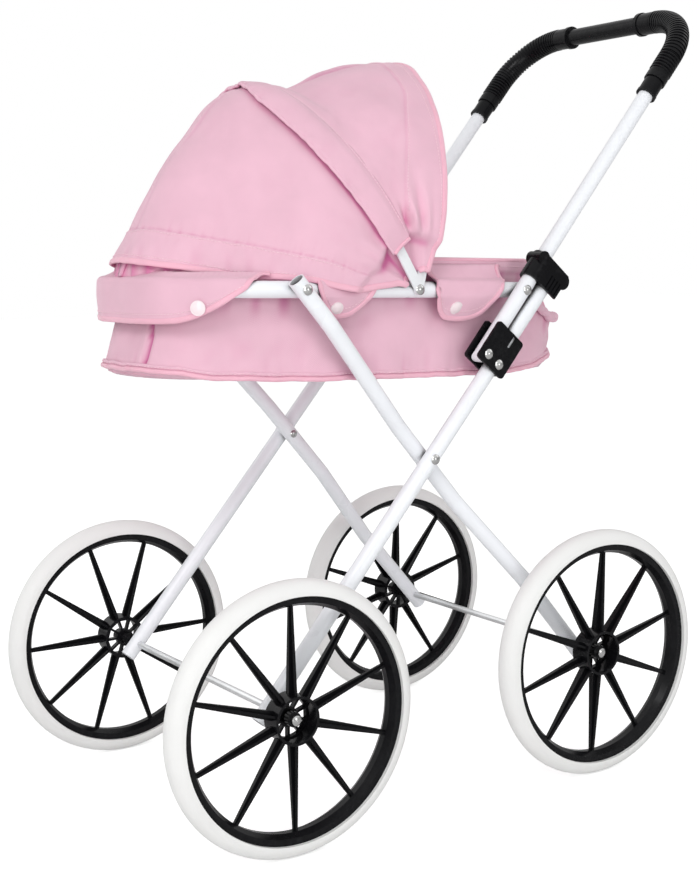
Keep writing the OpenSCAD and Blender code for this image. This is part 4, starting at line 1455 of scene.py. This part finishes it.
@dataclass
class Carrycot(Sewn):
    """Soft tub with a piped base, a hemmed rim and a cloth-covered floor."""

    shape: TubShape = TubShape()
    cols: int = 420
    cloth: float = 2.2

    def build(self) -> None:
        """Sews the tub, its floor, base piping and foot hem."""
        self.tub()
        self.floor_pad()
        self.foot_hem()

    def wall_relief(self, t: Array, s: Array, f: Array) -> Array:
        """Height of folds, gathers and seams on the wall; never out into the rails.

        Args:
            t: outline angle.
            s: distance round the outline in millimetres.
            f: height share of the wall.

        Returns:
            Height in millimetres.
        """
        nose = ramp(np.sin(t), -0.5, -0.97)
        foot = ramp(np.sin(t), 0.55, 0.95)
        calm = 1 - 0.9 * ramp(f, 0.45, 0.6) * (1 - nose) * (1 - foot)
        h = 0.8 * Crumple(51, 55.0).at(s, f * 95) * calm
        h += 0.15 * Crumple(52, 19.0).at(s, f * 95) * calm
        h += 0.5 * Crumple(53, 15.0).along(s) * np.exp(-f / 0.09)
        h += 0.6 * Crumple(54, 17.0).along(s) * np.exp(-(1 - f) / 0.10) * (nose + foot)
        h -= 2.2 * np.sin(np.pi * np.clip(f, 0, 1)) * (0.35 + 0.65 * nose + 0.5 * foot)
        h += 0.6 * nose * ramp(f, 0.16, 0.0)
        h += 1.2 * foot * Crumple(55, 24.0).along(s) * ramp(f, 0.2, 0.9)
        dart, depth = self.dart(t, f)
        return h + (0.8 * ridge(dart, -3.0, 1.8) - 2.4 * ridge(dart, 0.0, 1.1)) * depth

    def dart(self, t: Array, f: Array) -> tuple[Array, Array]:
        """Angle off the sewn dart beside the nose, and how deep it is there."""
        bend = curve(f, (0, 0.15, 0.3, 0.45, 0.55, 0.66), (0, -1.0, -1.0, 0.4, 2.2, 5.0))
        return np.degrees(t) + 77 + bend, ramp(f, 0.03, 0.12) * ramp(f, 0.66, 0.5)

    def wall_shade(self, t: Array, s: Array, f: Array) -> Array:
        """Shade in the dart and in the slack cloth under the rails.

        Args:
            t: outline angle.
            s: distance round the outline in millimetres.
            f: height share of the wall.

        Returns:
            Shade from 0 to 1.
        """
        dart, depth = self.dart(t, f)
        ends = ramp(np.abs(np.sin(t)), 0.6, 0.95)
        slack = np.maximum(Crumple(59, 34.0).along(s), 0.0)
        return (0.95 * ridge(dart, 0.0, 0.9) * depth
                + 0.45 * slack * ramp(f, 0.52, 0.74) * ramp(f, 0.95, 0.85) * (1 - ends))

    def tub(self) -> None:
        """Wall and bottom as one closed sheet, open at the rim."""
        t = self.shape.even_angles(self.cols)
        s = lengths(self.shape.at(t, np.full_like(t, 0.5)))
        shares = np.concatenate([np.linspace(0.0, 0.1, 7), np.linspace(0.13, 0.88, 30),
                                 np.linspace(0.90, 1.0, 8)])
        grid_t, grid_f = np.meshgrid(t, shares)
        grid_s = np.meshgrid(s, shares)[0]
        sheet = Sheet(self.shape.at(grid_t, grid_f), self.cloth, around=True)
        middle = np.array([0.0, self.shape.middle, 0.0])
        sheet.turn(5, 0, sheet.points[5, 0] - middle)
        below = (1 - grid_f) * 80
        h = self.wall_relief(grid_t, grid_s, grid_f)
        h += 0.5 * ramp(below, 9.0, 7.5) - 0.4 * ridge(below, 9.6, 0.9)
        sheet.shade = self.wall_shade(grid_t, grid_s, grid_f)
        sheet.raise_by(h)
        p, n = sheet.points, sheet.normals()
        heart = np.array([0.0, self.shape.middle - 6, self.shape.base - 0.6])
        rings = np.array([heart + (p[0] - heart) * k for k in (0.02, 0.25, 0.5, 0.75, 0.9, 0.96)])
        rings[..., 2] = self.shape.base - 0.2
        shade = np.concatenate([np.zeros(rings.shape[:2]), sheet.shade])
        full = Sheet(np.concatenate([rings, p]), self.cloth, True, sheet.outward, shade)
        cloth = self.keep(full.build("tub_cloth", self.place), PINK)
        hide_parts("cot_fabric")
        up = np.array([0.0, 0.0, 1.0])
        out = n[0] * (1 - up)
        ripple = 0.3 * Crumple(56, 26.0).along(s)[:, None]
        line = p[0] + out * (0.4 + 0.4 * ripple) + up * (1.2 + ripple)
        with_pieces = [
            self.cord("tub_base_piping", (line, out), (4.2, 3.6), closed=True, square=0.9),
            self.cord("tub_base_seam", (line + up * 3.6 - out * 0.9, out), (3.4, 1.9), PINK,
                      closed=True),
            self.cord("tub_rim_binding", (p[-1] - n[-1] * 1.1, n[-1]), (3.6, 3.4),
                      closed=True, square=1.0),
            self.stitch("tub_stitches", [(p[-5], n[-5]), (line + up * 3.4 + out * 0.2, out)])]

    def floor_pad(self) -> None:
        """Quilted cloth cover on the floor board."""
        rings, cols = 26, 200
        t = self.shape.even_angles(cols)
        edge = self.shape.at(t, np.full_like(t, 0.02), 4.2)
        middle = np.array([0.0, self.shape.middle, 0.0])
        k = np.linspace(0.01, 1.0, rings)[:, None, None]
        pts = middle + (edge[None] - middle) * k
        x, y, r = pts[..., 0], pts[..., 1], k[..., 0] * np.ones((1, cols))
        crown = 2.2 * (1 - r ** 6) + 0.5 * Crumple(57, 40.0).at(x, y) * (1 - r)
        quilt = np.abs(np.sin(x / 19.0)) ** 0.4 * np.abs(np.sin((y - 4) / 27.0)) ** 0.4
        pts[..., 2] = self.shape.base + 5.4 + crown * (0.35 + 0.65 * quilt)
        sheet = Sheet(pts, 1.2, around=True).turn(rings // 2, 0, (0, 0, 1))
        pad = self.keep(sheet.build("floor_pad", self.place), PINK_INSIDE, slot=Slot.BOARD)

    def foot_hem(self) -> None:
        """Gathered sleeve over the spring wire at the foot end."""
        t = np.radians(np.linspace(47, 133, 230))
        p = self.shape.at(t, np.full_like(t, 0.93), -2.6)
        rail_end = (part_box("rail_left")[1].y - self.place.y) / MM + 2.0
        run = np.linspace(0, 1, 44, endpoint=False)[:, None]
        near = np.array([108.0, rail_end, 0.0]) * (1 - run) + p[0] * run
        p = np.concatenate([near, p, near[::-1] * np.array([-1.0, 1.0, 1.0])])
        for _ in range(12):
            p[1:-1] = (p[:-2] + p[1:-1] * 2 + p[2:]) / 4
        s, sides = lengths(p), 16
        out = unit((p - np.array([0.0, self.shape.middle, 0.0])) * np.array([1.0, 1.0, 0.0]))
        ruffle = np.abs(np.sin(s / 4.2 + 1.2 * Crumple(58, 50.0).along(s)))
        a = np.arange(sides) * 2 * np.pi / sides
        up = np.cross(unit(np.gradient(p, axis=0)), out)
        up *= np.sign(up[:, 2:3])
        swell = ramp(s, 0, 30) * ramp(s, s[-1], s[-1] - 30)
        radius = (3.0 + (0.3 + 1.3 * swell) * ruffle)[:, None] * (
            1 + 0.35 * np.maximum(np.sin(a), 0))[None, :]
        ring = (p[:, None] + out[:, None] * (np.cos(a)[None, :] * radius)[..., None]
                + up[:, None] * (np.sin(a)[None, :] * radius)[..., None])
        uv = np.stack([np.repeat(s, sides), np.tile(a * 4.0, len(p))], axis=1) * MM
        self.keep(new_mesh("foot_hem_ruffle", self.place(ring.reshape(-1, 3)),
                           tube_faces(len(p), sides), uv), PINK)


# ---------------------------------------------------------------- flaps


@dataclass
class Flaps(Sewn):
    """Flaps that button over the hoop and the rails."""

    rail: float = 108.0
    tube: float = 7.0
    hoop: float = 90.0
    hoop_start: float = -125.2
    nose_end: float = -138.0
    cloth: float = 1.3
    round_r: float = 5.2

    def build(self) -> None:
        """Sews the nose flap and the two flaps on each side."""
        self.nose()
        for side in Side:
            self.side_flap(side, "mid", (-100, -96, -91, -84, -76, -68, -60, -51, -45, -42),
                           (10, -3, -13, -19.5, -21.8, -20.5, -15.5, -7, 1, 10))
            self.side_flap(side, "back", (19, 22.5, 27.5, 35, 46.5, 60, 72, 82, 90.5, 97),
                           (9, -6, -18, -24, -25.2, -24.3, -20, -9, 1, 10))

    def section(self, drop: Array, share: Array, inner: float, proud: float, tuck: float,
                rise: float) -> tuple[Array, Array]:
        """Cross-section from the tub's rim over the rail and down outside it.

        Args:
            drop: height of the lower edge beside the rail's middle.
            share: 0 at the inner edge to 1 at the lower edge.
            inner: distance of the inner edge from the rail's middle, inwards.
            proud: how far the cloth's outer face stands off the rail.
            tuck: how much of its fall the lower part leans in.
            rise: how much higher the inner edge is than the rail's top.

        Returns:
            Distance outwards from the rail's middle and height, in millimetres.
        """
        reach, round_r = self.tube + proud, self.round_r
        top, flat, arc = reach + 0.6, inner + reach - round_r, round_r * np.pi / 2
        cut = ramp(drop, 1.0, 9.5)
        down = np.maximum(top - round_r - drop, 0.0)
        d = share * (flat * (1 - 0.85 * cut) + (arc + down) * (1 - cut))
        turn = np.clip((d - flat) / round_r, 0, np.pi / 2)
        x = np.where(d < flat, -inner + d, reach - round_r + round_r * np.sin(turn))
        z = np.where(d < flat, top, top - round_r + round_r * np.cos(turn))
        fall = np.maximum(d - flat - arc, 0)
        z = z + rise * np.clip(1 - d / flat, 0, 1) ** 1.3
        return x - tuck * np.maximum(fall - (top - round_r + 6.0), 0), z - fall

    def nose(self) -> None:
        """Deep flap round the hoop, slanting up at both sides."""
        cols, rows, side_run = 401, 36, 128.0
        quarter, half = self.hoop * np.pi / 2, self.rail - self.hoop
        w = np.linspace(0, 2 * (side_run + quarter + half), cols)
        side = np.where(w < w[-1] / 2, 1.0, -1.0)
        from_end = np.minimum(w, w[-1] - w)
        turn = np.clip((from_end - side_run) / self.hoop, 0, np.pi / 2)
        nx, ny = side * np.cos(turn), -np.sin(turn)
        past = np.maximum(from_end - side_run - quarter, 0.0)
        cx = side * (half - past) + self.hoop * nx
        cy = self.hoop_start + np.maximum(side_run - from_end, 0.0) + self.hoop * ny
        cx, cy, nx, ny, w = (v[cy < self.nose_end] for v in (cx, cy, nx, ny, w))
        drop = curve(cy, (-216, -202, -193.2, -184.8, -175.6, -165.8, -155.6, -146, -138),
                     (-26.8, -25.6, -22.6, -17.4, -10.8, -2.6, 4.4, 8.4, 10.5))
        share = np.linspace(0, 1, rows)[:, None]
        x, z = self.section(drop[None, :], share, 7.0, 1.5, 0.08, 4.5)
        pts = np.stack([cx + nx * x, cy + ny * x, z], axis=-1)
        sheet = Sheet(pts, self.cloth).turn(rows - 8, len(w) // 2, (0, -1, 0))
        h = 0.35 * Crumple(61, 48.0).at(w[None, :], share * 45)
        h += 0.35 * Crumple(62, 20.0).along(w)[None, :] * ramp(share, 0.75, 1.0)
        h += 0.5 * ridge(share, 0.62, 0.25)
        h += 0.35 * np.abs(Crumple(63, 9.0).along(w))[None, :] * ramp(share, 0.35, 0.1)
        sheet.raise_by(np.maximum(h, -0.1))
        self.sew(sheet, "nose_flap", ["front_flap"], ["front_hoop"], 0)

    def side_flap(self, side: Side, name: str, ys: Sequence[float],
                  drops: Sequence[float]) -> None:
        """One small flap over a rail.

        Args:
            side: which rail.
            name: mid or back.
            ys: positions along the rail of the points below, from end to end.
            drops: height of the lower edge at those positions.
        """
        cols, rows, back = 61, 30, name == "back"
        even = np.linspace(0, 1, cols)
        y = ys[0] + (ys[-1] - ys[0]) * (0.6 * (0.5 - 0.5 * np.cos(np.pi * even)) + 0.4 * even)
        share = np.linspace(0, 1, rows)[:, None]
        x, z = self.section(curve(y, ys, drops)[None, :], share, 7.2, 1.7, 0.42, 13.0 * back)
        pts = np.stack([side.value * (self.rail + x), y[None, :] * np.ones((rows, 1)), z],
                       axis=-1)
        sheet = Sheet(pts, self.cloth).turn(rows * 2 // 3, cols // 2, (side.value, 0, 0))
        seed = 70 + 2 * back + (side is Side.RIGHT)
        h = 0.5 * Crumple(seed, 30.0).at(y[None, :], share * 45) + 0.5 * ridge(share, 0.7, 0.16)
        sheet.raise_by(np.maximum(h, -0.1))
        word = side.name.lower()
        self.sew(sheet, f"{name}_flap_{word}", [] if back else [f"side_flaps_{word}"],
                 [f"rail_{word}"], 10)

    def sew(self, sheet: Sheet, name: str, nodes: list[str], rests_on: list[str],
            top: int) -> None:
        """Builds a flap with its binding and stitches.

        Args:
            sheet: the flap's cloth.
            name: its name.
            nodes: frame nodes that it stands for.
            rests_on: frame nodes that carry it; not used.
            top: row at which the binding starts.
        """
        cloth = self.keep(sheet.build(name, self.place), PINK)
        if nodes:
            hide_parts(*nodes)
        p, n = sheet.points, sheet.normals()
        bind = self.bind(f"{name}_binding", (p, n), (4.8, 2.7), top)
        thread = self.stitch(f"{name}_stitches", [(p[-5, 3:-3], n[-5, 3:-3])])


# ---------------------------------------------------------------- frame dressing


@dataclass
class FrameDressing:
    """Finishes for the frame nodes that stay in view."""

    rounded: tuple[str, ...] = ("fold_bracket", "lock_clip", "wheel_", "collar", "hood_bow")
    bevel: float = 0.35 * MM
    sharp: float = math.radians(40)

    def build(self) -> None:
        """Gives each frame node its finish, bevels the edges of the rounded fittings and evens
        the normals of the handle tubes.
        """
        for name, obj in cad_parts.items():
            obj.data.materials.clear()
            obj.data.materials.append(finish_of(name).material())
            if name.startswith(self.rounded):
                soft = obj.modifiers.new("soft_edges", "BEVEL")
                soft.width = self.bevel
                soft.segments = 2
                soft.limit_method = "ANGLE"
                soft.angle_limit = self.sharp
                soft.harden_normals = False
            if name.startswith("handle_tube"):
                obj.modifiers.new("even_normals", "WEIGHTED_NORMAL").keep_sharp = True
        LOG.info("finishes on %d frame nodes", len(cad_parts))


# ---------------------------------------------------------------- studio


@dataclass(frozen=True)
class Studio:
    """Pale floor and backdrop, soft lamps, and the camera."""

    eye: tuple[float, float, float] = (1.12445, -0.77456, 0.48107)
    azimuth: float = 56.400
    elevation: float = 7.271
    roll: float = -0.931
    sensor: float = 36.0
    focal_share: float = 1.6942824
    clip_end: float = 60.0
    floor_half: float = 9.0
    glow: float = 0.56

    def build(self) -> None:
        """Sets up everything around the stroller."""
        self.camera()
        self.floor()
        self.lamps()
        self.world()
        bpy.context.scene.view_settings.view_transform = "Standard"

    def camera(self) -> None:
        """A lens of the same view, turned to the azimuth, elevation and roll."""
        data = bpy.data.cameras.new("view_camera")
        data.sensor_width = self.sensor
        data.lens = self.sensor * self.focal_share
        data.clip_end = self.clip_end
        a, e, r = (math.radians(v) for v in (self.azimuth, self.elevation, self.roll))
        back = Vector((math.sin(a) * math.cos(e), -math.cos(a) * math.cos(e), math.sin(e)))
        right = Vector((math.cos(a), math.sin(a), 0.0))
        up = right.cross(-back)
        axes = (right * math.cos(r) + up * math.sin(r), up * math.cos(r) - right * math.sin(r),
                back, Vector(self.eye))
        cam = link("view_camera", data)
        cam.matrix_world = Matrix([[axis[k] for axis in axes] for k in range(3)] + [[0, 0, 0, 1]])
        bpy.context.scene.camera = cam

    def floor(self) -> None:
        """A wide pale floor that shows near white and keeps the shadow."""
        h = self.floor_half
        mesh = bpy.data.meshes.new("studio_floor")
        mesh.from_pydata([(-h, -h, 0), (h, -h, 0), (h, h, 0), (-h, h, 0)], [], [(0, 1, 2, 3)])
        obj = link("studio_floor", mesh)
        made, kit = new_material("studio_paper", Base_Color=(0.82, 0.82, 0.82, 1.0),
                                 Roughness=0.9, Specular_IOR_Level=0.1,
                                 Emission_Color=(1.0, 1.0, 1.0, 1.0))
        seen = kit.add("ShaderNodeLightPath").outputs["Is Camera Ray"]
        set_shader(made, kit, {"Emission Strength": kit.times(seen, self.glow)})
        mesh.materials.append(made)

    def lamps(self) -> None:
        """Large soft lamps: key from the front left, fills all round, one low in front."""
        for name, spot, aim, size, power in (
            ("key_lamp", (1.6, -2.0, 2.3), 0.35, 1.1, 26.0),
            ("fill_lamp", (-2.2, -1.2, 1.3), 0.35, 2.0, 8.5),
            ("rear_lamp", (0.8, 2.4, 2.0), 0.35, 1.4, 7.0),
            ("side_lamp", (2.6, 0.2, 0.7), 0.3, 1.0, 8.5),
            ("low_lamp", (1.7, -1.7, 0.45), 0.3, 1.2, 12.0),
        ):
            data = bpy.data.lights.new(name, "AREA")
            data.energy = power
            data.size = size
            obj = link(name, data)
            obj.location = spot
            obj.rotation_mode = "QUATERNION"
            way = Vector((0, 0, aim)) - Vector(spot)
            obj.rotation_quaternion = way.to_track_quat("-Z", "Y")

    def world(self) -> None:
        """Even pale light; white where the camera or a reflection sees it."""
        world = bpy.data.worlds.new("studio_world")
        world.use_nodes = True
        bpy.context.scene.world = world
        kit = NodeKit(world.node_tree)
        path = kit.add("ShaderNodeLightPath").outputs
        seen = kit.math("MAXIMUM", path["Is Camera Ray"], path["Is Transmission Ray"])
        ray = kit.add("ShaderNodeTexCoord").outputs["Generated"]
        height = kit.add("ShaderNodeSeparateXYZ", Vector=ray).outputs["Z"]
        above = kit.plus(kit.times(height, 1.2), 0.1, True)
        sheen = kit.minus(kit.times(above, 0.85), 0.3)
        lift = kit.plus(kit.times(seen, 0.42), kit.times(path["Is Glossy Ray"], sheen))
        back = world.node_tree.nodes["Background"].inputs
        kit.put(back["Color"], (1.0, 1.0, 1.0, 1.0))
        kit.put(back["Strength"], kit.plus(lift, 0.58))


# ---------------------------------------------------------------- main


def main() -> None:
    """Builds every sub-assembly in order."""
    logging.basicConfig(level=logging.INFO, format="%(name)s: %(message)s")
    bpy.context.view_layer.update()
    FrameDressing().build()
    lo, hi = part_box("hood_rivets")
    hinge = (lo + hi) / 2
    level = HingePlace(hinge.y, hinge.z)
    tipped = HingePlace(hinge.y, hinge.z, COT_SLOPE)
    for assembly in (Hood(level), Carrycot(tipped), Flaps(tipped)):
        assembly.build()
        LOG.info("%s: %d pieces", type(assembly).__name__, len(assembly.made))
    Studio().build()


if __name__ == "__main__":
    main()
